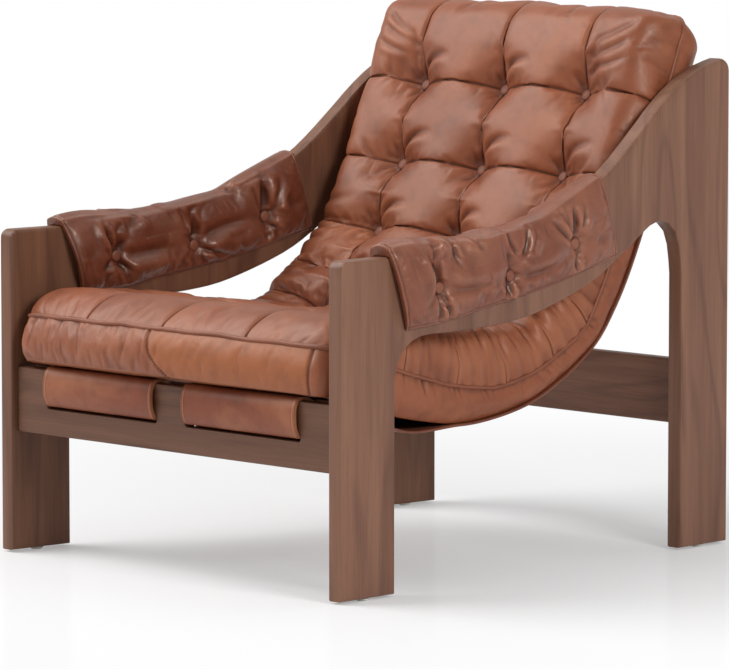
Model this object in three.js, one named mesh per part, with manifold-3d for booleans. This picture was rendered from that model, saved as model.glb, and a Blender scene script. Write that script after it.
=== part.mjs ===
// Leather sling lounge chair. Two wooden side frames stand on either side and toe in towards the back.
// Three rails join them. A leather sling hangs between the front rail and the upper back rail on wide
// straps, one long tufted cushion lies in the sling, and a buttoned leather pad saddles each arm.
// Millimetres. X runs to the right seen from the front, Y to the back and Z up from the floor.
import * as THREE from 'three';
import { mergeVertices } from 'three/addons/utils/BufferGeometryUtils.js';
import Module from 'manifold-3d';

const wasm = await Module();
wasm.setup();

// Side frames: one slab each, with the two legs, the arm and the back post in one outline
const front_width = 817;
const toe_in_degrees = 2.9;
const panel_thick = 30;
const panel_depth = 934;
const arm_top = 535;
const post_above_arm = 276;
const front_leg_depth = 122;
const rear_leg_depth = 121;
const edge_round = 5;
const front_corner_round = 14;
const rear_corner_round = 22;

// Glides under the legs
const glide_height = 4;
const glide_radius = 11;
const glide_waist_radius = 8;
const glide_pin_radius = 2;
const glide_pin_length = 14;

// Rails
const rail_height = 108;
const rail_thick = 22;
const rail_edge_round = 4;
const front_rail_setback = 10;
const rear_rail_setback = 30;
const rear_rail_bottom = 206;
const upper_rail_height = 92;
const slot_height = 10;
const slot_below_top = 59;
const slot_inner_end = 34;
const slot_outer_margin = 31;

// Joints of the rails: dowels and an angle bracket behind each end
const dowel_radius = 5;
const dowel_length = 40;
const dowel_depth_in_frame = 18;
const dowel_spacing = 56;
const bracket_leg = 40;
const bracket_height = 60;
const bracket_thick = 3;
const screw_head_radius = 5;
const screw_head_height = 2;

// Leather sling, its straps and their keeper rods
const sling_thick = 4;
const sling_side_room = 14;
const sling_droop = 18;
const strap_thick = 5;
const strap_side_room = 2.5;
const strap_bulge = 11;
const strap_overlap = 52;
const rod_radius = 4;
const rod_overhang = 1.5;

// Cushion
const cushion_side_room = 15;
const cushion_back_room = 7;
const cushion_depth = 160;
const band_bulge = 5;
const crown_side_round = 62;
const front_end = { reach: 10, bow: 22, crown_round: 62 };
const top_end = { reach: 20, bow: 8, crown_round: 52 };
const bow_reach = 90;
const cushion_end_round = 30;
const seam_depth = 8;
const seam_width = 20;
const tuft_depth = 19;
const tuft_width = 36;
const tuft_button_radius = 10;
const tuft_button_rise = 4;
const tuft_button_root = 8;

// Arm pads
const pad_wall = 15;
const pad_hem = 9;
const pad_crown = 24;
const pad_tuft_floor = 6;
const pad_button_radius = 9.5;
const pad_button_rise = 5;

// Clearances
const fit_gap = 0.3;
const slide_gap = 0.5;
const merge_distance = 0.0003;

// How finely round stretches are faceted
const corner_steps = 5;
const arch_steps = 34;
const top_line_steps = 26;
const round_sides = 12;
const button_sides = 10;
const tuft_sides = 8;
const sling_steps = 60;
const strap_steps = 36;
const curl_steps = 9;
const bevel_steps = 2;
const line_divisions = 400;

// The arch between the legs: share of the clear span from the front leg, share of the arm's height.
const arch_shares = [
  [0, 0.64], [0.022, 0.713], [0.087, 0.757], [0.21, 0.759], [0.37, 0.768], [0.5, 0.793], [0.68, 0.866],
  [0.8, 0.95], [0.885, 1.016], [0.925, 1.028], [0.967, 1.006], [0.99, 0.95], [1, 0.86],
];

// The top line from the arm up to the post: share of the depth, share of the rise from arm to post.
const top_line_shares = [
  [0.246, 0], [0.4, 0.06], [0.5, 0.125], [0.6, 0.245], [0.68, 0.39], [0.76, 0.6], [0.81, 0.742],
  [0.86, 0.86], [0.91, 0.942], [0.955, 0.985],
];

// The front rail's underside, which carries the front of the seat: share of the arm's height.
const front_rail_bottom_share = 0.3757;

// The line that the cushion's underside follows: share of the depth, share of the arm's height.
const seat_line_shares = [
  [0.004, 0.6], [0.06, 0.578], [0.12, 0.542], [0.24, 0.494], [0.36, 0.47], [0.5, 0.5], [0.6, 0.566],
  [0.68, 0.65], [0.73, 0.74], [0.79, 0.905], [0.88, 1.235], [0.97, 1.57],
];

// Along that line: the height of the side band and of the whole cushion, as shares of the cushion depth.
const band_height_shares = [
  [0, 0.465], [0.14, 0.44], [0.25, 0.38], [0.33, 0.29], [0.45, 0.25], [0.55, 0.23], [0.67, 0.3], [1, 0.31],
];
const crown_height_shares = [
  [0, 0.76], [0.05, 0.85], [0.13, 0.97], [0.19, 1], [0.25, 0.99], [0.33, 0.91], [0.38, 0.82], [0.44, 0.7],
  [0.49, 0.79], [0.54, 0.83], [0.59, 0.81], [0.66, 0.73], [0.8, 0.72], [0.88, 0.76], [0.94, 0.8], [1, 0.8],
];

// Along the same line: how far the cushion's sides have gone over from the room beside the seat to the
// narrower room beside the back.
const back_room_shares = [[0.7, 0], [0.82, 1]];

// The ends of the cushion: share of the end's reach, share of the corner round taken off the half width,
// then the share of the band that the underside lifts and that the top drops.
const end_form_shares = [
  [-1, 0.95, 0.42, 0.42], [-0.86, 0.82, 0.2, 0.08], [-0.5, 0.62, 0.05, 0], [0, 0.42, 0, 0],
];
const end_shoulder_share = 0.12;

// Columns of buttons apart, as a share of the front width. Rows of buttons along the line, and the middle of
// the upper back rail, as shares of its length.
const button_column_share = 0.2326;
const button_row_shares = [0.14, 0.252, 0.36, 0.468, 0.555, 0.661, 0.768, 0.885];
const upper_rail_share = 0.888;
const sling_front_share = 0.05;
const sling_rear_share = 0.915;
const droop_end_share = 0.27;

// The strap's bulge before its rail: share of how far it stands out, share of the drop to the slot. Behind
// the slot it curls round its rod by a share of a full turn.
const strap_bulge_shares = [[0.7, 0.14], [0.96, 0.32], [1, 0.48], [0.9, 0.7], [0.5, 0.9]];
const curl_turn_share = 0.8;

// Places of the cushion's lofted points: between one button row and the next, and across the top from the
// middle seam to the outer column and from there to the piped edge.
const row_step_shares = [1 / 3, 2 / 3, 1];
const column_step_shares = [0.25, 0.75, 1, 1.25];
const outer_step_shares = [0.45, 0.82, 1];

// The arm pad's two long edges: share of the panel's depth for the top, and of depth and arm height below.
const pad_top_start_share = 0.112;
const pad_top_end_share = 0.65;
const pad_lower_edge_shares = [
  [0.153, 0.781], [0.25, 0.794], [0.35, 0.822], [0.417, 0.839], [0.527, 0.871], [0.617, 0.907],
  [0.692, 0.935],
];

// The arm pad's buttons: share of its length from the front, share of its wall's height.
const pad_button_shares = [[0.178, 0.5], [0.5, 0.38], [0.816, 0.46]];
const pad_crease_share = 0.16;
const pad_pinch_share = 0.22;
const pad_end_pinch_share = 0.3;
const pad_end_reach_share = 0.03;
const pad_section_shares = [
  0, 0.025, 0.07, 0.12, 0.178, 0.235, 0.3, 0.37, 0.435, 0.5, 0.565, 0.63, 0.7, 0.76, 0.816, 0.87, 0.93,
  0.975, 1,
];

// A button's outline: share of its radius, share of its rise. A screw's place along its bracket's leg.
const button_profile_shares = [[1, 0.4], [0.72, 0.85]];
const screw_place_share = 0.62;

const wood = new THREE.MeshStandardMaterial({ color: 0x6b4f41, roughness: 0.55, metalness: 0 });
const shaded_wood = new THREE.MeshStandardMaterial({ color: 0x5a4337, roughness: 0.6, metalness: 0 });
const leather = new THREE.MeshStandardMaterial({ color: 0x96604a, roughness: 0.42, metalness: 0 });
const sling_leather = new THREE.MeshStandardMaterial({ color: 0x7d4a36, roughness: 0.5, metalness: 0 });
const steel = new THREE.MeshStandardMaterial({ color: 0x8d8d8d, roughness: 0.4, metalness: 1 });
const beech = new THREE.MeshStandardMaterial({ color: 0xc9a878, roughness: 0.7, metalness: 0 });
const pale_nylon = new THREE.MeshStandardMaterial({ color: 0xcfcabf, roughness: 0.5, metalness: 0 });

const toe_in = THREE.MathUtils.degToRad(toe_in_degrees);
const arch_span = panel_depth - front_leg_depth - rear_leg_depth;
const post_top = arm_top + post_above_arm;
const side_middle = panel_thick / 2;
const full_turn = 2 * Math.PI;
const half_turn = Math.PI;
const quarter_turn = Math.PI / 2;

// Half the clear width between the side frames at a depth measured straight back from the front.
function inner_face_x(depth) {
  return front_width / 2 - panel_thick / Math.cos(toe_in) - depth * Math.tan(toe_in);
}

// The same point of the inner face, measured along the slanting panel.
function along_panel(depth) {
  return (depth + panel_thick * Math.sin(toe_in)) / Math.cos(toe_in);
}

// A value read off a table of [place, value] pairs, eased between the pairs.
function read_table(table, place) {
  const last = table.length - 1;
  if (place <= table[0][0]) {
    return table[0][1];
  }
  for (let i = 1; i <= last; i += 1) {
    if (place <= table[i][0]) {
      const [from, low] = table[i - 1];
      const [to, high] = table[i];
      return THREE.MathUtils.lerp(low, high, (place - from) / (to - from));
    }
  }
  return table[last][1];
}

function scaled_points(shares, width, height, offset_x = 0, offset_y = 0) {
  return shares.map(([a, b]) => new THREE.Vector2(offset_x + a * width, offset_y + b * height));
}

// Points of a quarter round that starts straight from one direction and ends at right angles to it.
function corner(centre, radius, from_angle, turn) {
  const points = [];
  for (let i = 0; i <= corner_steps; i += 1) {
    const angle = from_angle + (turn * i) / corner_steps;
    points.push(new THREE.Vector2(centre.x + radius * Math.cos(angle), centre.y + radius * Math.sin(angle)));
  }
  return points;
}

// A closed solid from a flat outline, its long edges rounded within the outline and the thickness.
function slab(outline, thick, round, holes = []) {
  const shape = new THREE.Shape(outline);
  shape.holes = holes.map((hole) => new THREE.Path(hole));
  return new THREE.ExtrudeGeometry(shape, {
    depth: thick - 2 * round,
    bevelEnabled: round > 0,
    bevelThickness: round,
    bevelSize: round,
    bevelOffset: -round,
    bevelSegments: bevel_steps,
  }).translate(0, 0, round);
}

function merged(geometry) {
  const bare = geometry.clone();
  bare.deleteAttribute('normal');
  bare.deleteAttribute('uv');
  return mergeVertices(bare, merge_distance);
}

function to_solid(geometry) {
  const bare = merged(geometry);
  return new wasm.Manifold(
    new wasm.Mesh({
      numProp: 3,
      vertProperties: new Float32Array(bare.attributes.position.array),
      triVerts: new Uint32Array(bare.index.array),
    }),
  );
}

function to_geometry(solid) {
  const mesh = solid.getMesh();
  const geometry = new THREE.BufferGeometry();
  geometry.setAttribute('position', new THREE.BufferAttribute(mesh.vertProperties, 3));
  geometry.setIndex(new THREE.BufferAttribute(mesh.triVerts, 1));
  return geometry;
}

function cut(geometry, cutters) {
  const solid = cutters.reduce((left, cutter) => left.subtract(to_solid(cutter)), to_solid(geometry));
  return to_geometry(solid);
}

function joined(geometry, additions) {
  const solid = additions.reduce((sum, part) => sum.add(to_solid(part)), to_solid(geometry));
  return to_geometry(solid);
}

// A closed solid through rings of points that all have the same count. Each end is closed by the flat
// outline given in 2D for its ring.
function loft(rings, end_outlines) {
  const count = rings[0].length;
  const positions = rings.flat().flatMap((point) => [point.x, point.y, point.z]);
  const index = [];
  for (let i = 0; i < rings.length - 1; i += 1) {
    for (let j = 0; j < count; j += 1) {
      const a = i * count + j;
      const b = i * count + ((j + 1) % count);
      index.push(a, b, b + count);
      index.push(a, b + count, a + count);
    }
  }
  const last_ring = (rings.length - 1) * count;
  const close = (outline, first, facing_back) => {
    const turned = THREE.ShapeUtils.isClockWise(outline) !== facing_back;
    THREE.ShapeUtils.triangulateShape(outline, []).forEach(([a, b, c]) => {
      index.push(first + a, first + (turned ? c : b), first + (turned ? b : c));
    });
  };
  close(end_outlines[0], 0, true);
  close(end_outlines[1], last_ring, false);
  const geometry = new THREE.BufferGeometry();
  geometry.setAttribute('position', new THREE.Float32BufferAttribute(positions, 3));
  geometry.setIndex(index);
  return geometry;
}

function named_mesh(name, geometry, material) {
  const mesh = new THREE.Mesh(geometry, material);
  mesh.name = name;
  return mesh;
}

// Turns a shape drawn in X and Y and pulled along Z so that it lies in the Y Z plane, pulled along X.
const profile_to_side = new THREE.Matrix4().makeBasis(
  new THREE.Vector3(0, 1, 0),
  new THREE.Vector3(0, 0, 1),
  new THREE.Vector3(1, 0, 0),
);

// Side frames

const top_line = new THREE.SplineCurve([
  ...scaled_points(top_line_shares, panel_depth, post_above_arm, 0, arm_top),
]);

const top_line_points = top_line.getSpacedPoints(top_line_steps);

// Height of the wood's top edge at a distance along the panel.
function frame_top_height(along) {
  const rows = top_line_points.map((point) => [point.x, point.y]);
  return read_table(rows, along);
}

function side_frame_outline() {
  const arch = new THREE.SplineCurve(scaled_points(arch_shares, arch_span, arm_top, front_leg_depth));
  const rear_corner = new THREE.Vector2(panel_depth - rear_corner_round, post_top - rear_corner_round);
  const front_corner = new THREE.Vector2(front_corner_round, arm_top - front_corner_round);
  return [
    new THREE.Vector2(0, glide_height),
    new THREE.Vector2(front_leg_depth, glide_height),
    ...arch.getSpacedPoints(arch_steps),
    new THREE.Vector2(panel_depth - rear_leg_depth, glide_height),
    new THREE.Vector2(panel_depth, glide_height),
    ...corner(rear_corner, rear_corner_round, 0, quarter_turn),
    ...[...top_line_points].reverse(),
    ...corner(front_corner, front_corner_round, quarter_turn, quarter_turn),
  ];
}

// The slab stands on edge: its outline in the plane of depth and height, its outer face at X zero.
function side_frame_geometry() {
  const geometry = slab(side_frame_outline(), panel_thick, edge_round);
  return geometry.applyMatrix4(profile_to_side).translate(-panel_thick, 0, 0);
}

// Cushion line, which the sling and the upper rail follow too

const seat_line = new THREE.SplineCurve(scaled_points(seat_line_shares, panel_depth, arm_top));
seat_line.arcLengthDivisions = line_divisions;
const seat_line_length = seat_line.getLength();

// A place along the line, with the direction of travel and the direction up through the cushion.
function seat_frame(share) {
  const inside = THREE.MathUtils.clamp(share, 0, 1);
  const point = seat_line.getPointAt(inside);
  const tangent = seat_line.getTangentAt(inside);
  const normal = new THREE.Vector2(-tangent.y, tangent.x);
  point.addScaledVector(tangent, (share - inside) * seat_line_length);
  return { point, tangent, normal };
}

// Rails

// Each rail is drawn flat, then stands at its middle, leaning back by its own angle.
function rail_placement(middle_y, middle_z, lean) {
  const placement = new THREE.Matrix4().makeRotationX(-lean);
  return placement.setPosition(0, middle_y, middle_z);
}

const front_rail_bottom = front_rail_bottom_share * arm_top;
const front_rail = {
  name: 'front_rail',
  height: rail_height,
  slotted: true,
  placement: rail_placement(front_rail_setback + rail_thick / 2, front_rail_bottom + rail_height / 2, 0),
};
const rear_rail_y = (panel_depth - rear_leg_depth + rear_rail_setback) * Math.cos(toe_in) + rail_thick / 2;
const rear_rail = {
  name: 'rear_rail',
  height: rail_height,
  slotted: false,
  placement: rail_placement(rear_rail_y, rear_rail_bottom + rail_height / 2, 0),
};
const hem_radius = rod_radius + fit_gap + strap_thick;
const upper_seat = seat_frame(upper_rail_share);
const upper_rail_offset = 3 * fit_gap + sling_thick + 2 * hem_radius + slide_gap + rail_thick / 2;
const upper_middle = upper_seat.point.clone().addScaledVector(upper_seat.normal, -upper_rail_offset);
const upper_lean = Math.atan2(upper_seat.tangent.x, upper_seat.tangent.y);
const upper_back_rail = {
  name: 'upper_back_rail',
  height: upper_rail_height,
  slotted: true,
  placement: rail_placement(upper_middle.x, upper_middle.y, upper_lean),
};
const rails = [front_rail, rear_rail, upper_back_rail];

// All four slots are as long as the shorter slotted rail allows.
const slot_length = inner_face_x(upper_middle.x) - slot_inner_end - slot_outer_margin;

// Moves the points near the ends of a piece that spans the frames, so that its end is cut to the slant of
// the side frames. Distances from the end are kept.
function fit_to_frames(geometry, placement, half_length, reach) {
  const position = geometry.attributes.position;
  const point = new THREE.Vector3();
  for (let i = 0; i < position.count; i += 1) {
    point.fromBufferAttribute(position, i);
    const side = Math.sign(point.x);
    const from_end = half_length - Math.abs(point.x);
    if (from_end < reach) {
      const depth = point.clone().applyMatrix4(placement).y;
      position.setX(i, side * (inner_face_x(depth) - from_end));
    }
  }
  return geometry;
}

function slot_outline(side, height) {
  const radius = slot_height / 2;
  const level = height / 2 - slot_below_top;
  const near = slot_inner_end + radius;
  const far = slot_inner_end + slot_length - radius;
  const low_x = side > 0 ? near : -far;
  const high_x = side > 0 ? far : -near;
  return [
    ...corner(new THREE.Vector2(high_x, level), radius, -quarter_turn, half_turn),
    ...corner(new THREE.Vector2(low_x, level), radius, quarter_turn, half_turn),
  ];
}

function rail_geometry(rail) {
  const middle_y = new THREE.Vector3().setFromMatrixPosition(rail.placement).y;
  const half_length = inner_face_x(middle_y);
  const half_height = rail.height / 2;
  const end = half_length - fit_gap;
  const outline = [
    new THREE.Vector2(-end, -half_height),
    new THREE.Vector2(end, -half_height),
    new THREE.Vector2(end, half_height),
    new THREE.Vector2(-end, half_height),
  ];
  const holes = rail.slotted ? [slot_outline(-1, rail.height), slot_outline(1, rail.height)] : [];
  const geometry = slab(outline, rail_thick, rail_edge_round, holes);
  geometry.translate(0, 0, -rail_thick / 2).rotateX(quarter_turn);
  return fit_to_frames(geometry, rail.placement, half_length, 3 * rail_edge_round);
}

// Dowels and glides are round pegs

function peg(radius, length) {
  return new THREE.CylinderGeometry(radius, radius, length, round_sides).rotateZ(quarter_turn);
}

// The places of the dowels in a side frame: on its inner face, at the middle of each rail's thickness.
function dowel_places() {
  return rails.flatMap((rail) =>
    [-1, 1].map((step) => {
      const place = new THREE.Vector3(0, 0, (step * dowel_spacing) / 2).applyMatrix4(rail.placement);
      const along = along_panel(place.y);
      const middle = dowel_length / 2 - dowel_depth_in_frame;
      return {
        name: `${rail.name}_dowel_${step < 0 ? 'lower' : 'upper'}`,
        position: new THREE.Vector3(-panel_thick - middle, along, place.z),
      };
    }),
  );
}

function dowel_hole(place) {
  const geometry = peg(dowel_radius + fit_gap, dowel_length + 2 * slide_gap);
  return geometry.translate(place.position.x, place.position.y, place.position.z);
}

const glide_places = [front_leg_depth / 2, panel_depth - rear_leg_depth / 2];

function glide_geometry() {
  const top = glide_height - fit_gap;
  const profile = [
    new THREE.Vector2(0, 0),
    new THREE.Vector2(glide_waist_radius, 0),
    new THREE.Vector2(glide_radius, glide_height / 2),
    new THREE.Vector2(glide_radius, top),
    new THREE.Vector2(glide_pin_radius, top),
    new THREE.Vector2(glide_pin_radius, top + glide_pin_length),
    new THREE.Vector2(0, top + glide_pin_length),
  ];
  return new THREE.LatheGeometry(profile, round_sides).rotateX(quarter_turn);
}

function glide_hole(along) {
  const depth = glide_pin_length + glide_height;
  const geometry = new THREE.CylinderGeometry(
    glide_pin_radius + fit_gap,
    glide_pin_radius + fit_gap,
    depth,
    round_sides,
  );
  return geometry.rotateX(quarter_turn).translate(-side_middle, along, depth / 2 + slide_gap);
}

// Arm pads: a thick leather saddle over each arm, puckered at three buttons on either side

const pad_half_inside = panel_thick / 2 + slide_gap;
const pad_lower_edge = new THREE.SplineCurve(
  scaled_points(pad_lower_edge_shares, panel_depth, arm_top),
);

function pad_edges(share) {
  const along = panel_depth * THREE.MathUtils.lerp(pad_top_start_share, pad_top_end_share, share);
  const upper = new THREE.Vector2(along, frame_top_height(along) + slide_gap);
  const lower = pad_lower_edge.getPointAt(share);
  return { upper, lower };
}

// Half widths and heights of the pad's skin, from the lower hem on one side over the top to the other.
const pad_skin_shares = [
  [1, 0, 0], [1, 0.25, 0], [1, 0.5, 0], [1, 0.76, 0], [0.98, 0.97, 0.2], [0.62, 1, 0.88], [0, 1, 1],
];

// How much of its full thickness the pad has at a place: pinched at the buttons, full between them.
function pad_fullness(share, height_share) {
  const pad_length = panel_depth * (pad_top_end_share - pad_top_start_share);
  const pad_height = arm_top - pad_lower_edge_shares[0][1] * arm_top;
  const level = (height_share - read_table(pad_button_shares, share)) * pad_height;
  const pinch = pad_button_shares.reduce((sum, [button_share]) => {
    const away = Math.hypot((share - button_share) * pad_length, level);
    return sum + Math.exp(-((away / (2 * pad_button_radius)) ** 2));
  }, 0);
  const crease = Math.exp(-((level / pad_wall) ** 2));
  const hem = height_share === 0 ? 1 - pad_hem / pad_wall : 0;
  return 1 - hem - pad_crease_share * crease - pad_pinch_share * Math.min(pinch, 1);
}

function pad_ring(share) {
  const { upper, lower } = pad_edges(share);
  const rise = upper.clone().sub(lower);
  const up = rise.clone().normalize();
  const end_share = Math.min(share, 1 - share);
  const end_pinch = 1 - pad_end_pinch_share * Math.exp(-end_share / pad_end_reach_share);
  const at = (across, height_share, above) => {
    const place = lower.clone().addScaledVector(rise, height_share).addScaledVector(up, above);
    return { across, along: place.x, height: place.y };
  };
  const half_skin = pad_skin_shares.map(([width_share, height_share, crown_share]) => {
    const wall = pad_wall * end_pinch * pad_fullness(share, height_share);
    const across = width_share * (pad_half_inside + wall);
    return at(across, height_share, crown_share * pad_crown * end_pinch);
  });
  const other_half = half_skin.slice(0, -1).map((point) => ({ ...point, across: -point.across }));
  const inside = [at(-pad_half_inside, 0, 0), at(-pad_half_inside, 1, fit_gap)];
  const inside_back = [at(pad_half_inside, 1, fit_gap), at(pad_half_inside, 0, 0)];
  const loop = [...half_skin, ...other_half.reverse(), ...inside, ...inside_back].reverse();
  const outline = loop.map((point) => new THREE.Vector2(point.across, point.height));
  const ring = loop.map((point) => new THREE.Vector3(point.across - side_middle, point.along, point.height));
  return { ring, outline };
}

function pad_button_places() {
  const names = ['front', 'middle', 'rear'];
  return pad_button_shares.flatMap(([share, level_share], i) =>
    [-1, 1].map((side) => {
      const { upper, lower } = pad_edges(share);
      const middle = lower.clone().lerp(upper, level_share);
      const across = side * (pad_half_inside + pad_tuft_floor);
      return {
        name: `${side > 0 ? 'outer' : 'inner'}_${names[i]}`,
        side,
        position: new THREE.Vector3(across - side_middle, middle.x, middle.y),
      };
    }),
  );
}

function pad_button_pocket(place) {
  const geometry = peg(pad_button_radius + slide_gap, pad_wall);
  const shift = place.position.x + (place.side * pad_wall) / 2;
  return geometry.translate(shift, place.position.y, place.position.z);
}

function arm_pad_geometry() {
  const sections = pad_section_shares.map(pad_ring);
  const rings = sections.map((section) => section.ring);
  const whole = loft(rings, [sections[0].outline, sections[sections.length - 1].outline]);
  return cut(whole, pad_button_places().map(pad_button_pocket));
}

// A covered button: a flat back, an upright rim and a domed face, lying along X.
function button_geometry(radius, rise, root, sides) {
  const rim = sides < button_sides ? button_profile_shares.slice(0, 1) : button_profile_shares;
  const profile = [
    new THREE.Vector2(0, -root),
    new THREE.Vector2(radius, -root),
    ...scaled_points(rim, radius, rise),
    new THREE.Vector2(0, rise),
  ];
  return new THREE.LatheGeometry(profile, sides).rotateZ(-quarter_turn);
}

// Angle brackets behind the rails' ends, each with its four screw heads

// A bracket stands behind its rail, or hangs below it where the post leaves no room behind.
function bracket_geometry(rail, side) {
  const middle_y = new THREE.Vector3().setFromMatrixPosition(rail.placement).y;
  const half_length = inner_face_x(middle_y);
  const below = rail.slotted && rail !== front_rail;
  const back = fit_gap + (below ? rail.height : rail_thick) / 2;
  const width = below ? rail_thick - 2 * rail_edge_round : bracket_height;
  const end = half_length - fit_gap;
  const plan = [
    new THREE.Vector2(end, back),
    new THREE.Vector2(end, back + bracket_leg),
    new THREE.Vector2(end - bracket_thick, back + bracket_leg),
    new THREE.Vector2(end - bracket_thick, back + bracket_thick),
    new THREE.Vector2(end - bracket_leg, back + bracket_thick),
    new THREE.Vector2(end - bracket_leg, back),
  ];
  const plate = slab(plan, width, 0).translate(0, 0, -width / 2);
  const head_root = bracket_thick / 2;
  const screw_place = bracket_leg * screw_place_share;
  const head_levels = below ? [0] : [-width / 4, width / 4];
  const heads = head_levels.flatMap((level) => {
    const on_rail = button_geometry(screw_head_radius, screw_head_height, head_root, button_sides);
    on_rail.rotateZ(quarter_turn).translate(end - screw_place, back + bracket_thick, level);
    const on_frame = button_geometry(screw_head_radius, screw_head_height, head_root, button_sides);
    on_frame.rotateZ(half_turn).translate(end - bracket_thick, back + screw_place, level);
    return [on_rail, on_frame];
  });
  const whole = joined(plate, heads);
  if (below) {
    whole.rotateX(-quarter_turn);
  }
  const slanted = fit_to_frames(whole, rail.placement, half_length, half_length);
  return side > 0 ? slanted : mirrored_in_x(slanted);
}

function mirrored_in_x(geometry) {
  const flipped = geometry.clone().applyMatrix4(new THREE.Matrix4().makeScale(-1, 1, 1));
  const index = flipped.index;
  for (let i = 0; i < index.count; i += 3) {
    const second = index.getX(i + 1);
    index.setX(i + 1, index.getX(i + 2));
    index.setX(i + 2, second);
  }
  return flipped;
}

// Sheets that keep one thickness along a line in the Y Z plane

function ribbon_outline(line, thick) {
  const count = line.length;
  const normals = line.map((point, i) => {
    const before = line[Math.max(i - 1, 0)];
    const after = line[Math.min(i + 1, count - 1)];
    const along = after.clone().sub(before).normalize();
    return new THREE.Vector2(-along.y, along.x);
  });
  const above = line.map((point, i) => point.clone().addScaledVector(normals[i], thick / 2));
  const below = line.map((point, i) => point.clone().addScaledVector(normals[i], -thick / 2));
  return [...below, ...above.reverse()];
}

// How far the sling hangs clear below the cushion: only behind the front rail.
function droop(share) {
  const part = (share - sling_front_share) / (droop_end_share - sling_front_share);
  return part > 0 && part < 1 ? sling_droop * Math.sin(half_turn * part) ** 2 : 0;
}

function sling_point(share, below_top) {
  const { point, normal } = seat_frame(share);
  return point.clone().addScaledVector(normal, -(fit_gap + droop(share) + below_top));
}

function sling_geometry() {
  const line = [];
  for (let i = 0; i <= sling_steps; i += 1) {
    const share = THREE.MathUtils.lerp(sling_front_share, sling_rear_share, i / sling_steps);
    line.push(sling_point(share, sling_thick / 2));
  }
  const half_length = inner_face_x(line[0].x);
  const half_width = half_length - sling_side_room;
  const geometry = slab(ribbon_outline(line, sling_thick), 2 * half_width, 0);
  geometry.translate(0, 0, -half_width).applyMatrix4(profile_to_side);
  return fit_to_frames(geometry, new THREE.Matrix4(), half_length, half_length);
}

// The straps' line in a rail's own plane. The first axis points away from the sling's side of the rail.
// The lead comes from the sling, then the line wraps the rail and ends round the keeper rod.
function strap_line(rail, lead) {
  const half_thick = rail_thick / 2;
  const top = rail.height / 2;
  const turn_radius = rail_edge_round + 2 * fit_gap + strap_thick / 2;
  const slot_level = top - slot_below_top;
  const proud = half_thick + strap_bulge - strap_thick / 2;
  const around_edge = (side, angle) =>
    new THREE.Vector2(
      side * (half_thick - rail_edge_round) + turn_radius * Math.cos(angle),
      top - rail_edge_round + turn_radius * Math.sin(angle),
    );
  const bulge = strap_bulge_shares.map(
    ([out_share, drop_share]) =>
      new THREE.Vector2(
        THREE.MathUtils.lerp(half_thick, proud, out_share),
        top - drop_share * slot_below_top,
      ),
  );
  const wrap = [
    around_edge(-1, quarter_turn + quarter_turn / 3),
    around_edge(-1, quarter_turn),
    around_edge(1, quarter_turn),
    around_edge(1, quarter_turn / 2),
    ...bulge,
    new THREE.Vector2(half_thick - rail_edge_round / 2, slot_level),
    new THREE.Vector2(-half_thick - fit_gap, slot_level),
  ];
  const centre = rod_centre(rail);
  const hem_line_radius = rod_radius + fit_gap + strap_thick / 2;
  const curl = [];
  for (let i = 1; i <= curl_steps; i += 1) {
    const angle = quarter_turn + (curl_turn_share * full_turn * i) / curl_steps;
    const p = centre.x + hem_line_radius * Math.cos(angle);
    curl.push(new THREE.Vector2(p, centre.y + hem_line_radius * Math.sin(angle)));
  }
  const into_hem = new THREE.Vector2(centre.x, slot_level);
  return [...new THREE.SplineCurve([...lead, ...wrap]).getSpacedPoints(strap_steps), into_hem, ...curl];
}

// The keeper rod lies just behind the slot and below it, in the hem of the strap.
function rod_centre(rail) {
  const slot_level = rail.height / 2 - slot_below_top;
  const drop = rod_radius + fit_gap + strap_thick / 2;
  return new THREE.Vector2(-rail_thick / 2 - fit_gap - hem_radius, slot_level - drop);
}

// The strap is sewn under the sling, so its lead is the line just below the sling's underside, carried
// over into the rail's own plane.
function strap_lead(rail, away, shares) {
  const to_rail = rail.placement.clone().invert();
  return shares.map((share, i) => {
    const leaving = i === shares.length - 1 ? strap_thick / 2 : 0;
    const { x, y } = sling_point(share, sling_thick + 3 * fit_gap + strap_thick / 2 + leaving);
    const local = new THREE.Vector3(0, x, y).applyMatrix4(to_rail);
    return new THREE.Vector2(away * local.y, local.z);
  });
}

// A piece drawn in a rail's own plane stands at a slot. The side away from the sling is -1 at the front
// rail and 1 at the upper rail.
function stand_in_rail(geometry, side, length) {
  const near = slot_inner_end + (slot_length - length) / 2;
  const start = side > 0 ? near : -near - length;
  return geometry.applyMatrix4(profile_to_side).translate(start, 0, 0);
}

function strap_geometry(rail, away, side, lead_shares) {
  const line = strap_line(rail, strap_lead(rail, away, lead_shares));
  const in_plane = line.map((point) => new THREE.Vector2(away * point.x, point.y));
  const width = slot_length - 2 * strap_side_room;
  return stand_in_rail(slab(ribbon_outline(in_plane, strap_thick), width, 0), side, width);
}

function rod_geometry(rail, away, side) {
  const centre = rod_centre(rail);
  const length = slot_length - 2 * strap_side_room + 2 * rod_overhang;
  const near = slot_inner_end + (slot_length - length) / 2;
  const middle = side * (near + length / 2);
  return peg(rod_radius, length).translate(middle, away * centre.x, centre.y);
}

// Cushion: seat and back in one, lofted across the line that its underside follows

const button_columns_apart = button_column_share * front_width;

function cushion_half_width(share) {
  const at_back = read_table(back_room_shares, share);
  const room = THREE.MathUtils.lerp(cushion_side_room, cushion_back_room, at_back);
  return inner_face_x(seat_frame(share).point.x) - room;
}

// Rounds a crown or a corner: 0 at the edge, 1 once the distance reaches the radius.
function ease_round(distance, radius) {
  const part = THREE.MathUtils.clamp(distance / radius, 0, 1);
  return Math.sqrt(1 - (1 - part) ** 2);
}

function hollow(distance, width) {
  return Math.exp(-((distance / width) ** 2));
}

const button_columns = [-button_columns_apart, 0, button_columns_apart];

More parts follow.
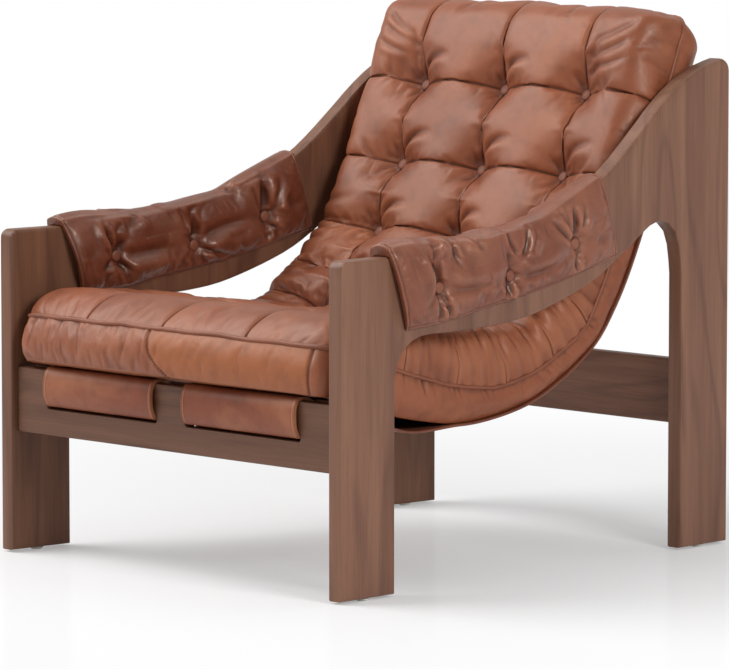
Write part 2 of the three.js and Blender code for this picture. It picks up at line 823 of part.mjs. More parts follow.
// Height of the leather above the underside at a distance along the line and across it. The crown rounds
// off towards the piped edges and towards both ends.
function cushion_height(along, across, half_width) {
  const share = along / seat_line_length;
  const band = cushion_depth * read_table(band_height_shares, share);
  const crown = cushion_depth * read_table(crown_height_shares, share);
  const front_dome = ease_round(along + front_end.reach, front_end.crown_round);
  const top_dome = ease_round(seat_line_length + top_end.reach - along, top_end.crown_round);
  const side_dome = ease_round(half_width - Math.abs(across), crown_side_round);
  const dome = side_dome * front_dome * top_dome;
  const from_column = Math.min(...button_columns.map((column) => Math.abs(across - column)));
  const from_row = Math.min(
    ...button_row_shares.map((row_share) => Math.abs(along - row_share * seat_line_length)),
  );
  const seams = seam_depth * (hollow(from_column, seam_width) + hollow(from_row, seam_width));
  const tuft = tuft_depth * hollow(Math.hypot(from_column, from_row), tuft_width);
  return band + Math.max(0, (crown - band) * dome - (seams + tuft) * dome);
}

// Where the cushion's sections stand: round both ends, and in steps from button row to button row.
function cushion_stations() {
  const full = { cut_share: 0, lift_share: 0, drop_share: 0 };
  const end_forms = [front_end, top_end].map((end) => [
    ...end_form_shares.map(([reach_share, cut_share, lift_share, drop_share]) => {
      return { along: reach_share * end.reach, cut_share, lift_share, drop_share };
    }),
    { ...full, along: cushion_end_round, cut_share: end_shoulder_share },
  ]);
  const from_front = end_forms[0];
  const from_top = end_forms[1].map((form) => ({ ...form, along: seat_line_length - form.along }));
  const stops = [0, ...button_row_shares, 1];
  const places = stops.slice(1).flatMap((to, i) =>
    row_step_shares.map((step) => seat_line_length * THREE.MathUtils.lerp(stops[i], to, step)),
  );
  const clear_of_ends = (along) => along > cushion_end_round && along < seat_line_length - cushion_end_round;
  const between = places.filter(clear_of_ends).map((along) => ({ ...full, along }));
  return [...from_front, ...between, ...from_top.reverse()];
}

// How far a section bows out at its middle: most at the very end, and none past the bow's reach.
function bow_at(along) {
  const at_front = along < seat_line_length / 2;
  const end_distance = Math.max(0, at_front ? along : seat_line_length - along);
  const fade = Math.max(0, 1 - end_distance / bow_reach) ** 2;
  return at_front ? -front_end.bow * fade : top_end.bow * fade;
}

function cushion_ring(station) {
  const share = station.along / seat_line_length;
  const inside = THREE.MathUtils.clamp(share, 0, 1);
  const { point, tangent, normal } = seat_frame(share);
  const half_width = cushion_half_width(inside) - station.cut_share * cushion_end_round;
  const inner = column_step_shares.map((step) => step * button_columns_apart);
  const rest = half_width - inner[inner.length - 1];
  const outer = outer_step_shares.map((step) => half_width - (1 - step) * rest);
  const right = [...inner, ...outer];
  const across = [...[...right].reverse(), 0, ...right.map((value) => -value)];
  const band = cushion_depth * read_table(band_height_shares, inside);
  const lift = station.lift_share * band;
  const drop = station.drop_share * band;
  const top = across.map((value) => [value, cushion_height(station.along, value, half_width) - drop]);
  const belly = (lift + band - drop) / 2;
  const loop = [
    ...top,
    [-half_width - band_bulge, belly],
    [-half_width + band_bulge, lift],
    [half_width - band_bulge, lift],
    [half_width + band_bulge, belly],
  ].reverse();
  const ring = loop.map(([value, height]) => {
    const bow = bow_at(station.along) * (1 - Math.min(Math.abs(value) / half_width, 1) ** 2);
    const place = point.clone().addScaledVector(tangent, bow).addScaledVector(normal, height);
    return new THREE.Vector3(value, place.x, place.y);
  });
  return { ring, outline: loop.map(([value, height]) => new THREE.Vector2(value, height)) };
}

function tuft_buttons() {
  return button_row_shares.flatMap((row_share) =>
    button_columns.map((column) => {
      const { point, normal } = seat_frame(row_share);
      const along = row_share * seat_line_length;
      const height = cushion_height(along, column, cushion_half_width(row_share));
      const place = point.clone().addScaledVector(normal, height);
      const button = button_geometry(tuft_button_radius, tuft_button_rise, tuft_button_root, tuft_sides);
      button.rotateY(-quarter_turn).rotateX(Math.atan2(normal.y, normal.x) - quarter_turn);
      return button.translate(column, place.x, place.y);
    }),
  );
}

function cushion_geometry() {
  const sections = cushion_stations().map(cushion_ring);
  const rings = sections.map((section) => section.ring);
  const whole = loft(rings, [sections[0].outline, sections[sections.length - 1].outline]);
  return joined(whole, tuft_buttons());
}

// Assembly

const chair = new THREE.Group();

[-1, 1].forEach((side) => {
  const side_name = side > 0 ? 'right' : 'left';
  const frame = new THREE.Group();
  frame.position.set((side * front_width) / 2, 0, 0);
  frame.rotation.z = side * toe_in;
  frame.scale.x = side;
  chair.add(frame);

  const holes = [...dowel_places().map(dowel_hole), ...glide_places.map(glide_hole)];
  frame.add(named_mesh(`side_frame_${side_name}`, cut(side_frame_geometry(), holes), wood));
  frame.add(named_mesh(`arm_pad_${side_name}`, arm_pad_geometry(), leather));

  pad_button_places().forEach((place) => {
    const button = button_geometry(pad_button_radius, pad_button_rise, -fit_gap, button_sides);
    const mesh = named_mesh(`arm_button_${side_name}_${place.name}`, button, leather);
    mesh.position.copy(place.position);
    mesh.rotation.z = place.side > 0 ? 0 : half_turn;
    frame.add(mesh);
  });

  dowel_places().forEach((place) => {
    const dowel = named_mesh(`${place.name}_${side_name}`, peg(dowel_radius, dowel_length), beech);
    dowel.position.copy(place.position);
    frame.add(dowel);
  });

  ['front', 'rear'].forEach((end_name, i) => {
    const glide = named_mesh(`glide_${end_name}_${side_name}`, glide_geometry(), pale_nylon);
    glide.position.set(-side_middle, glide_places[i], 0);
    frame.add(glide);
  });
});

// The dowel holes in a rail, taken from the dowels of both side frames into the rail's own frame.
function rail_dowel_holes(rail) {
  const to_rail = rail.placement.clone().invert();
  return [-1, 1].flatMap((side) =>
    dowel_places()
      .filter((place) => place.name.startsWith(rail.name))
      .map((place) => {
        const hole = dowel_hole(place);
        if (side < 0) {
          hole.copy(mirrored_in_x(hole));
        }
        hole.rotateZ(side * toe_in).translate((side * front_width) / 2, 0, 0);
        return hole.applyMatrix4(to_rail);
      }),
  );
}

rails.forEach((rail) => {
  const group = new THREE.Group();
  rail.placement.decompose(group.position, group.quaternion, group.scale);
  chair.add(group);
  const geometry = cut(rail_geometry(rail), rail_dowel_holes(rail));
  group.add(named_mesh(rail.name, geometry, rail === front_rail ? wood : shaded_wood));
  [-1, 1].forEach((side) => {
    const side_name = side > 0 ? 'right' : 'left';
    group.add(named_mesh(`${rail.name}_bracket_${side_name}`, bracket_geometry(rail, side), steel));
  });
  if (rail.slotted) {
    const away = rail === front_rail ? -1 : 1;
    const overlap_share = strap_overlap / seat_line_length;
    const lead_shares = away < 0
      ? [sling_front_share + overlap_share, sling_front_share + overlap_share / 2, sling_front_share]
      : [sling_rear_share - overlap_share, sling_rear_share - overlap_share / 2, sling_rear_share];
    [-1, 1].forEach((side) => {
      const side_name = side > 0 ? 'right' : 'left';
      const end_name = away < 0 ? 'front' : 'rear';
      const strap = strap_geometry(rail, away, side, lead_shares);
      group.add(named_mesh(`sling_strap_${end_name}_${side_name}`, strap, sling_leather));
      const rod = rod_geometry(rail, away, side);
      group.add(named_mesh(`strap_rod_${end_name}_${side_name}`, rod, steel));
    });
  }
});

chair.add(named_mesh('sling', sling_geometry(), sling_leather));
chair.add(named_mesh('seat_cushion', cushion_geometry(), leather));

// The origin is on the floor, under the middle of the chair's outline seen from above.
const extent = new THREE.Box3().setFromObject(chair, true);
const middle = extent.getCenter(new THREE.Vector3());
chair.position.set(-middle.x, -middle.y, 0);

const part = new THREE.Group();
part.add(chair);

export default part;
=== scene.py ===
import math

import bmesh
import bpy
import numpy as np
from mathutils import Matrix, Vector


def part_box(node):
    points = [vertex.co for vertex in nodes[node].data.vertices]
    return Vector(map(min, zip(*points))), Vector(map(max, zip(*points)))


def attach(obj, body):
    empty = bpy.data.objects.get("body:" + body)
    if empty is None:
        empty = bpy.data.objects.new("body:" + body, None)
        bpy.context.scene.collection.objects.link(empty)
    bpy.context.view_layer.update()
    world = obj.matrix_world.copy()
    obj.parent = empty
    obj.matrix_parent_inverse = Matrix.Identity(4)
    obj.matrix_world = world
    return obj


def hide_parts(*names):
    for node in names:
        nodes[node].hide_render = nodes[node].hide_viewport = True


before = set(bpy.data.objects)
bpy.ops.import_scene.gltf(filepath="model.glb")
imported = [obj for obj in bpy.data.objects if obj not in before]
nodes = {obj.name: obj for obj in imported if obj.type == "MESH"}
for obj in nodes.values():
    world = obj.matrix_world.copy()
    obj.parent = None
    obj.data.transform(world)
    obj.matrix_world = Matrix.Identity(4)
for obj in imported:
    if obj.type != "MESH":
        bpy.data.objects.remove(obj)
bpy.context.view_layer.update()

MM = 0.001
ops = bpy.ops


# Camera
# It stands where the photograph's own vertical and slanting edges put it: out beyond the right front leg,
# 1.3 m above the floor, with a long lens that looks slightly down.
camera_place = (6616.4 * MM, -6357.4 * MM, 1333.1 * MM)
camera_turn = 0.8067
camera_tilt = 0.1059
camera_lens = 275.79

ops.object.camera_add(location=camera_place, rotation=(math.pi / 2 - camera_tilt, 0, camera_turn))
camera = bpy.context.object
camera.name = "camera"
camera.data.lens = camera_lens
camera.data.sensor_width = 36
camera.data.clip_end = 200
bpy.context.scene.camera = camera


# Studio
# A pale floor that runs out into a white room. Near the chair it takes the shadow and a faint mirror image
# of the legs, and further off it fades to the white of the room.
floor_half_size = 40.0
floor_colour = (0.83, 0.83, 0.835, 1)
floor_polish, floor_mirror_share = 0.12, 0.1
shadow_reach, shadow_fade = (0.75, 2.3), 0.3
# light that the room gives, what mirrors in the leather, and what the camera sees behind the chair
room_tones = [((1, 1, 1, 1), 0.33), ((1, 0.99, 0.97, 1), 0.62), ((1, 1, 1, 1), 1)]
lamp_aim = Vector((0, 0, 0.45))
lamps = [
    # name, azimuth, elevation, distance, size, power
    ("key", -50, 44, 3.9, 3.4, 172),
    ("side", 80, 22, 3.8, 1.1, 66),
    ("rear", 185, 62, 4.5, 3.0, 34),
]


def put(tree, kind, inputs={}, **settings):
    """A new node with its settings, and with values on its inputs."""
    node = tree.nodes.new(kind)
    for key, value in settings.items():
        setattr(node, key, value)
    for key, value in inputs.items():
        node.inputs[key].default_value = value
    return node


def wire(tree, *runs):
    """Links nodes: each run names a node, its output, the next node and its input."""
    for start, leaving, end, entering in runs:
        tree.links.new(start.outputs[leaving], end.inputs[entering])


def new_material(name):
    material = bpy.data.materials.new(name)
    material.use_nodes = True
    tree = material.node_tree
    tree.nodes.clear()
    return material, tree, put(tree, "ShaderNodeOutputMaterial")


def paint(obj, material):
    obj.data.materials.clear()
    obj.data.materials.append(material)


def floor_material():
    material, tree, output = new_material("floor_pale")
    coordinate = put(tree, "ShaderNodeTexCoord")
    length = put(tree, "ShaderNodeVectorMath", operation="LENGTH")
    reach = {"From Min": shadow_reach[0], "From Max": shadow_reach[1], "To Min": shadow_fade}
    fade = put(tree, "ShaderNodeMapRange", reach, interpolation_type="SMOOTHSTEP")
    diffuse = put(tree, "ShaderNodeBsdfDiffuse", {"Color": floor_colour})
    gloss = put(tree, "ShaderNodeBsdfGlossy", {"Roughness": floor_polish})
    lit = put(tree, "ShaderNodeMixShader", {0: floor_mirror_share})
    seen, choose = (put(tree, "ShaderNodeMixShader") for _ in range(2))
    path = put(tree, "ShaderNodeLightPath")
    either = put(tree, "ShaderNodeMath", operation="MAXIMUM")
    wire(
        tree, (coordinate, "Object", length, 0), (length, "Value", fade, "Value"), (diffuse, 0, lit, 1),
        (gloss, 0, lit, 2), (fade, "Result", seen, 0), (lit, 0, seen, 1),
        (put(tree, "ShaderNodeEmission"), 0, seen, 2), (path, "Is Camera Ray", either, 0),
        (path, "Is Glossy Ray", either, 1), (either, 0, choose, 0), (diffuse, 0, choose, 1), (seen, 0, choose, 2),
        (choose, 0, output, "Surface"),
    )
    return material


ops.mesh.primitive_plane_add(size=2 * floor_half_size)
floor = bpy.context.object
floor.name = "floor"
paint(floor, floor_material())

world = bpy.data.worlds.new("white_room")
bpy.context.scene.world = world
world.use_nodes = True
tree = world.node_tree
tree.nodes.clear()
room_light, room_mirrored, room_white = (
    put(tree, "ShaderNodeBackground", {"Color": colour, "Strength": strength}) for colour, strength in room_tones
)
path = put(tree, "ShaderNodeLightPath")
either = put(tree, "ShaderNodeMath", operation="MAXIMUM")
unseen, choose = (put(tree, "ShaderNodeMixShader") for _ in range(2))
wire(
    tree, (path, "Is Camera Ray", either, 0), (path, "Is Transmission Ray", either, 1), (either, 0, choose, 0),
    (path, "Is Glossy Ray", unseen, 0), (room_light, 0, unseen, 1), (room_mirrored, 0, unseen, 2),
    (unseen, 0, choose, 1), (room_white, 0, choose, 2), (choose, 0, put(tree, "ShaderNodeOutputWorld"), "Surface"),
)

for name, azimuth, elevation, distance, size, power in lamps:
    turn, rise = math.radians(azimuth), math.radians(elevation)
    way = Vector((math.sin(turn) * math.cos(rise), -math.cos(turn) * math.cos(rise), math.sin(rise)))
    lamp = bpy.data.lights.new(name, "AREA")
    lamp.size = size
    lamp.energy = power
    lamp_object = bpy.data.objects.new(name, lamp)
    bpy.context.scene.collection.objects.link(lamp_object)
    lamp_object.location = lamp_aim + distance * way
    lamp_object.rotation_mode = "QUATERNION"
    lamp_object.rotation_quaternion = way.to_track_quat("Z", "Y")

bpy.context.scene.view_settings.view_transform = "Standard"


# Wooden frame
# The two side frames and the three rails are boards of open-grained hardwood, stained grey-brown and
# oiled. The grain stands upright in the side frames and runs along the rails.
wood_smooth_angle = math.radians(40)
merge_gap = 0.02 * MM


def deselect():
    if bpy.context.object and bpy.context.object.mode != "OBJECT":
        ops.object.mode_set(mode="OBJECT")
    ops.object.select_all(action="DESELECT")


def make_active(obj):
    deselect()
    obj.select_set(True)
    bpy.context.view_layer.objects.active = obj


def srgb(red, green, blue):
    """A colour given in the 0 to 255 steps of a paint chart, as the linear light that a shader mixes."""
    steps = [value / 255 for value in (red, green, blue)]
    return tuple(v / 12.92 if v <= 0.04045 else ((v + 0.055) / 1.055) ** 2.4 for v in steps) + (1,)


def smooth_copy(node_name):
    """A copy of a sawn board with its facets merged and shaded as the smooth faces they stand for."""
    piece = bpy.data.objects.new(node_name + "_board", nodes[node_name].data.copy())
    bpy.context.scene.collection.objects.link(piece)
    make_active(piece)
    ops.object.mode_set(mode="EDIT")
    ops.mesh.select_all(action="SELECT")
    ops.mesh.remove_doubles(threshold=merge_gap)
    ops.mesh.customdata_custom_splitnormals_clear()
    ops.object.mode_set(mode="OBJECT")
    ops.object.shade_smooth_by_angle(angle=wood_smooth_angle)
    ops.object.modifier_add(type="WEIGHTED_NORMAL")
    piece.modifiers[-1].keep_sharp = True
    ops.object.modifier_apply(modifier=piece.modifiers[-1].name)
    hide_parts(node_name)
    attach(piece, "root")
    return piece


def mask_tools(group, start):
    """Short ways to lay down a noise, a range and a mix in a node group."""

    def noise(scale, stretch=(1, 1, 1), detail=3, distortion=0.0):
        mapping = put(group, "ShaderNodeMapping", {"Scale": stretch})
        node = put(group, "ShaderNodeTexNoise", {"Scale": scale, "Detail": detail, "Distortion": distortion})
        wire(group, (start, "Vector", mapping, "Vector"), (mapping, "Vector", node, "Vector"))
        return node.outputs["Fac"]

    def ranged(value, low, high, to_low, to_high):
        limits = {"From Min": low, "From Max": high, "To Min": to_low, "To Max": to_high}
        node = put(group, "ShaderNodeMapRange", limits)
        group.links.new(value, node.inputs["Value"])
        return node.outputs["Result"]

    def mixed(factor, first, second):
        node = put(group, "ShaderNodeMix", data_type="RGBA")
        for key, value in (("Factor", factor), ("A", first), ("B", second)):
            group.links.new(value, node.inputs[key])
        return node.outputs["Result"]

    def sums(operation, first, second):
        node = put(group, "ShaderNodeMath", operation=operation)
        for socket, value in zip(node.inputs, (first, second)):
            if isinstance(value, (int, float)):
                socket.default_value = value
            else:
                group.links.new(value, socket)
        return node.outputs[0]

    return noise, ranged, mixed, sums


def new_group(name, colours, numbers=()):
    """A node group that takes a place, colours and numbers, and gives colour, roughness and height."""
    group = bpy.data.node_groups.new(name, "ShaderNodeTree")
    sockets = [("Vector", "INPUT", "Vector"), *((key, "INPUT", "Color") for key in colours)]
    sockets += [(key, "INPUT", "Float") for key in numbers]
    sockets += [("Color", "OUTPUT", "Color"), ("Roughness", "OUTPUT", "Float"), ("Height", "OUTPUT", "Float")]
    for key, in_out, kind in sockets:
        group.interface.new_socket(key, in_out=in_out, socket_type="NodeSocket" + kind)
    return group, put(group, "NodeGroupInput"), put(group, "NodeGroupOutput")


def grain_group():
    """Open-pored wood: growth rings cut lengthwise into long arches, fine fibres and dark pores, all running
    along local Z."""
    group, start, end = new_group("wood_grain", ("Base", "Dark", "Light"))
    noise, ranged, mixed, sums = mask_tools(group, start)
    rings = noise(6.5, (1, 1, 0.16), 2, 0.4)
    arches = sums("PINGPONG", sums("MULTIPLY", rings, 15), 1)
    bands = noise(30, (1, 1, 0.05), 4, 0.5)
    fibres = noise(420, (1, 1, 0.02), 3)
    pores = noise(950, (1, 1, 0.025), 2)
    base, dark, light = (start.outputs[key] for key in ("Base", "Dark", "Light"))
    colour = mixed(ranged(bands, 0.36, 0.68, 0, 1), base, light)
    colour = mixed(ranged(arches, 0.6, 1, 0, 0.34), colour, dark)
    colour = mixed(ranged(fibres, 0.44, 0.78, 0, 0.26), colour, dark)
    colour = mixed(ranged(pores, 0.6, 0.74, 0, 0.34), colour, dark)
    height = sums("ADD", ranged(pores, 0.56, 0.72, 1, 0), ranged(fibres, 0.3, 0.8, 0.4, 0))
    for value, key in ((colour, "Color"), (ranged(fibres, 0.3, 0.7, 0.36, 0.5), "Roughness"), (height, "Height")):
        group.links.new(value, end.inputs[key])
    return group


wood_grain = grain_group()
upright, lying = (0, 0, 0), (0, math.pi / 2, 0)
wood_relief, wood_gloss = 0.3, 0.32
frame_woods = [
    # node, material, where in the log it was cut, base, dark and light colour, how the grain lies
    # the left frame's colours are a little darker than the right's, as painted shade for the shadowed inside of the
    # chair
    ("side_frame_left", "wood_upright_left", (0.31, 0.12, 0), (108, 71, 51), (58, 34, 24), (124, 85, 64), upright),
    ("side_frame_right", "wood_upright_right", (0, 0, 0), (117, 80, 62), (66, 40, 30), (134, 95, 75), upright),
    ("front_rail", "wood_front_rail", (0, 0, 0), (97, 63, 46), (54, 32, 23), (113, 77, 57), lying),
    ("rear_rail", "wood_rear_rail", (0, 0.2, 0), (122, 82, 63), (68, 42, 31), (140, 99, 77), lying),
    ("upper_back_rail", "wood_upper_back_rail", (0, 0.4, 0), (104, 70, 52), (58, 36, 26), (120, 84, 64), lying),
]


def surface(tree, output, colour, rough, height, strength, depth, looks):
    """Leads a pattern's colour, roughness and height to the surface."""
    bump = put(tree, "ShaderNodeBump", {"Strength": strength, "Distance": depth})
    shader = put(tree, "ShaderNodeBsdfPrincipled", looks)
    tree.links.new(colour, shader.inputs["Base Color"])
    tree.links.new(rough, shader.inputs["Roughness"])
    tree.links.new(height, bump.inputs["Height"])
    wire(tree, (bump, "Normal", shader, "Normal"), (shader, 0, output, "Surface"))


def grained(name, group, base, dark, light, relief, looks, turn=(0, 0, 0), place=(0, 0, 0)):
    """A material from a grain group, with its colours, the height of its relief and the surface's constants."""
    material, tree, output = new_material(name)
    coordinate = put(tree, "ShaderNodeTexCoord")
    mapping = put(tree, "ShaderNodeMapping", {"Rotation": turn, "Location": place})
    colours = {"Base": srgb(*base), "Dark": srgb(*dark), "Light": srgb(*light)}
    grain = put(tree, "ShaderNodeGroup", colours, node_tree=group)
    wire(tree, (coordinate, "Object", mapping, "Vector"), (mapping, "Vector", grain, "Vector"))
    parts = (grain.outputs[key] for key in ("Color", "Roughness", "Height"))
    surface(tree, output, *parts, relief, relief * MM, looks)
    return material, tree, grain


def wood(name, place, base, dark, light, turn):
    looks = {"Specular IOR Level": wood_gloss}
    return grained(name, wood_grain, base, dark, light, wood_relief, looks, turn, place)[0]


for node_name, *cut in frame_woods:
    piece = smooth_copy(node_name)
    paint(piece, wood(*cut))


# Tufted cushion
# Seat and back in one: soft leather panels sewn edge to edge over foam and fibre, and drawn down by three
# covered buttons to a row. A piped edge joins them to the boxing band that goes round the sides.
front_line = -457.26 * MM
front_width = 817 * MM
board_thick = 30 * MM
board_depth = 934 * MM
arm_height = 535 * MM
toe_in = math.radians(2.9)
seat_line_shares = [
    (0.004, 0.6), (0.06, 0.578), (0.12, 0.542), (0.24, 0.494), (0.36, 0.47), (0.5, 0.5), (0.6, 0.566),
    (0.68, 0.65), (0.73, 0.74), (0.79, 0.905), (0.88, 1.235), (0.97, 1.57),
]
band_height_shares = [
    (0, 0.465), (0.14, 0.44), (0.25, 0.38), (0.33, 0.29), (0.45, 0.25), (0.55, 0.23), (0.67, 0.3), (1, 0.31),
]
crown_height_shares = [
    (0, 0.76), (0.05, 0.85), (0.13, 0.97), (0.19, 1), (0.25, 0.99), (0.33, 0.91), (0.38, 0.82), (0.44, 0.7),
    (0.49, 0.79), (0.54, 0.83), (0.59, 0.81), (0.66, 0.73), (0.8, 0.72), (0.88, 0.76), (0.94, 0.8), (1, 0.8),
]
button_row_shares = [0.14, 0.252, 0.36, 0.468, 0.555, 0.661, 0.768, 0.885]
cushion_depth = 160 * MM
cushion_side_room, cushion_back_room = 15 * MM, 7 * MM
back_room_shares = [(0.7, 0), (0.82, 1)]
column_step = 190 * MM
cushion_corner = 30 * MM
front_reach, top_reach = 10 * MM, 19 * MM
front_bow, top_bow, bow_reach = 22 * MM, 8 * MM, 90 * MM
front_crown_round, top_crown_round, side_crown_round = 52 * MM, 44 * MM, 36 * MM
band_bulge_share, band_swell_share = 0.36, 0.4
crown_loss, underside_inset = 6 * MM, 7 * MM
edge_pillow_width, bend_reach = 170 * MM, 150 * MM
cushion_cell = 5.4 * MM
seam_fine_cells = (2 * MM, 5 * MM)
seam_drop, seam_spread = 3 * MM, 12 * MM
button_drop = 30 * MM
tuft_spread = 27 * MM
pillow_swell = 10 * MM
button_radius = 9.5 * MM
band_cells = 12
# folds in the leather, lengths in mm. From each button: angle, swing, reach, width, depth. From the piping
# beside each row: place ahead of the row, reach, lean, width, depth. At the top corners: side, and the same.
button_folds = [
    (118, 3, 30, 3.2, 2), (28, -3, 34, 3.2, 1.5), (200, 3, 26, 3, 1.2), (-40, 3, 30, 3.4, 1.4), (-115, -3, 28, 3, 1.2),
]
edge_folds = [(-50, 80, 22, 6.5, 6.5), (-22, 110, 16, 7.5, 8.5), (14, 118, -8, 8, 9), (44, 90, 12, 7, 7.5)]
corner_folds = [
    (-1, -22, 85, -46, 5, 3), (-1, -48, 95, -34, 5.5, 3), (-1, -76, 88, -22, 4.5, 2.4),
    (1, -20, 95, -44, 6, 3.4), (1, -52, 105, -40, 6, 3), (1, -84, 80, -16, 4.5, 2),
]
# above each button of the back lies a slack fold: start and end beside the button, swing, width, depth, in mm
brow_fold = ((4, 19), (82, 48), 11, -7, 8)
first_back_row = 4
# front band: the seam between its two hides, as rise and mm across, and small puckers in the left one
band_seam_places = [(0, 30), (0.15, 12), (0.3, -2), (0.45, -12), (0.6, -18), (0.8, -22), (1, -23)]
band_puckers = 22
topstitch_inset, topstitch_depth, topstitch_width = 5 * MM, 0.9 * MM, 1.2 * MM
band_seam_depth, band_seam_width = 1.9 * MM, 2.8 * MM
# how many times a skin is smoothed to tell its folds, and the depth of a full fold
fold_passes, cushion_fold_depth = 14, 2.5 * MM


def spline_points(shares, width, height, steps):
    """A smooth curve through the points, sampled closely."""
    points = np.array(shares) * (width, height)
    padded = np.vstack([points[:1], points, points[-1:]])
    part = np.linspace(0, 1, steps, endpoint=False)[:, None]
    runs = []
    for a, b, c, d in zip(padded, padded[1:], padded[2:], padded[3:]):
        leave, arrive = (c - a) / 2, (d - b) / 2
        runs.append(
            b + leave * part + (3 * (c - b) - 2 * leave - arrive) * part**2
            + (2 * (b - c) + leave + arrive) * part**3
        )
    return np.vstack([*runs, points[-1:]])


def run_along(points):
    """Distance from the first point to each of the others, along them."""
    return np.concatenate([[0], np.cumsum(np.linalg.norm(np.diff(points, axis=0), axis=1))])


line_points = spline_points(seat_line_shares, board_depth, arm_height, 100)
line_run = run_along(line_points)
line_length = line_run[-1]
line_ways = np.gradient(line_points, line_run, axis=0)
line_ways /= np.linalg.norm(line_ways, axis=1)[:, None]


def along_seat(along):
    """Y and Z of the seat line at distances along it, and the Y and Z of its direction there."""
    inside = np.clip(along, 0, line_length)
    y, z, way_y, way_z = (
        np.interp(inside, line_run, values) for values in (*line_points.T, *line_ways.T)
    )
    past = along - inside
    return y + past * way_y + front_line, z + past * way_z, way_y, way_z


def read_shares(shares, place):
    return np.interp(place, *zip(*shares))


def inner_face(y):
    """Half the clear width between the side frames at a place along Y."""
    return front_width / 2 - board_thick / math.cos(toe_in) - (y - front_line) * math.tan(toe_in)


def bell(steps):
    """1 in the middle, and less and less away to both sides."""
    return np.exp(-(steps**2))


def ease_round(distance, radius):
    """From 0 at an edge to 1 at a radius from it, as a quarter circle rises."""
    part = np.clip(distance / radius, 0, 1)
    return np.sqrt(1 - (1 - part) ** 2)


def between_seams(start, end, cell):
    """Places from one seam up to the next: close together beside the seams, about a cell apart between."""
    near = np.array(seam_fine_cells)
    first, last = start + near[-1], end - near[-1]
    middle = np.linspace(first, last, max(2, round((last - first) / cell)) + 1)[1:-1]
    return np.concatenate([[start], start + near, middle, end - near[::-1]])


def points_of(piece, kind="co"):
    values = np.empty(3 * len(piece.data.vertices), np.float32)
    piece.data.vertices.foreach_get(kind, values)
    return values.reshape(-1, 3).astype(float)


def normals_of(piece):
    return points_of(piece, "normal")


def set_points(piece, values):
    piece.data.vertices.foreach_set("co", np.asarray(values, np.float32).ravel())
    piece.data.update()


def store(piece, **numbers):
    """Keeps one number per point on the mesh, for the material and for what is shaped later."""
    for name, values in numbers.items():
        attribute = piece.data.attributes.get(name) or piece.data.attributes.new(name, "FLOAT", "POINT")
        attribute.data.foreach_set("value", np.broadcast_to(values, len(piece.data.vertices)).astype(np.float32))


def stored(piece, name):
    values = np.empty(len(piece.data.vertices), np.float32)
    piece.data.attributes[name].data.foreach_get("value", values)
    return values.astype(float)


def sewn_cover(name, columns, rows, rim_cells, lower_panel=True):
    """A cover of one panel above another with a rim between, or of the upper panel and the rim alone. Each
    point's column, row and rise say where it belongs, so that it can be put in its place."""
    deselect()
    ops.mesh.primitive_grid_add(x_subdivisions=columns, y_subdivisions=rows, size=2)
    cover = bpy.context.object
    cover.name = name
    ops.object.mode_set(mode="EDIT")
    ops.mesh.select_all(action="SELECT")
    ops.mesh.extrude_region_move(TRANSFORM_OT_translate={"value": (0, 0, 1)})
    shape = bmesh.from_edit_mesh(cover.data)
    for edge in shape.edges:
        edge.select_set(abs(edge.verts[0].co.z - edge.verts[1].co.z) > 0.5)
    bmesh.update_edit_mesh(cover.data)
    if rim_cells > 1:
        ops.mesh.subdivide(number_cuts=rim_cells - 1)
    ops.mesh.select_all(action="SELECT")
    ops.mesh.normals_make_consistent(inside=False)
    if not lower_panel:
        ops.mesh.select_all(action="DESELECT")
        shape = bmesh.from_edit_mesh(cover.data)
        for face in shape.faces:
            face.select_set(max(corner.co.z for corner in face.verts) < 0.001)
        bmesh.update_edit_mesh(cover.data)
        ops.mesh.delete(type="FACE")
    ops.object.mode_set(mode="OBJECT")
    unit = points_of(cover)
    column = np.rint((unit[:, 0] + 1) / 2 * columns).astype(int)
    row = np.rint((unit[:, 1] + 1) / 2 * rows).astype(int)
    return cover, column, row, unit[:, 2]


def weigh(piece, name, weights):
    """A vertex group with one weight per point."""
    make_active(piece)
    ops.object.vertex_group_add()
    group = piece.vertex_groups[-1]
    group.name = name
    steps = np.rint(np.clip(weights, 0, 1) * 20).astype(int)
    for step in range(1, 21):
        group.add(np.nonzero(steps == step)[0].tolist(), step / 20, "REPLACE")


def inflate(piece, pressure, growth, cap, stiffness, bending):
    """Fills a sewn cover: the leather between its seams is let out a little and blown up, and then fixed. No
    point goes further than the cap."""
    before = points_of(piece)
    make_active(piece)
    ops.object.modifier_add(type="CLOTH")
    cloth = piece.modifiers[-1]
    for key, value in {
        "quality": 5, "mass": 0.3, "tension_stiffness": stiffness, "compression_stiffness": stiffness,
        "shear_stiffness": stiffness / 3, "bending_stiffness": bending, "use_pressure": True,
        "uniform_pressure_force": pressure, "shrink_min": -growth, "shrink_max": 0,
        "vertex_group_shrink": "taut", "vertex_group_mass": "held",
    }.items():
        setattr(cloth.settings, key, value)
    cloth.settings.effector_weights.gravity = 0
    cloth.collision_settings.use_collision = False
    for step in range(1, 21):
        bpy.context.scene.frame_set(step)
    ops.object.modifier_apply(modifier=cloth.name)
    bpy.context.scene.frame_set(1)
    moved = points_of(piece) - before
    far = np.linalg.norm(moved, axis=1)
    moved *= (cap * np.tanh(far / cap) / np.maximum(far, 1e-9))[:, None]
    set_points(piece, before + moved)


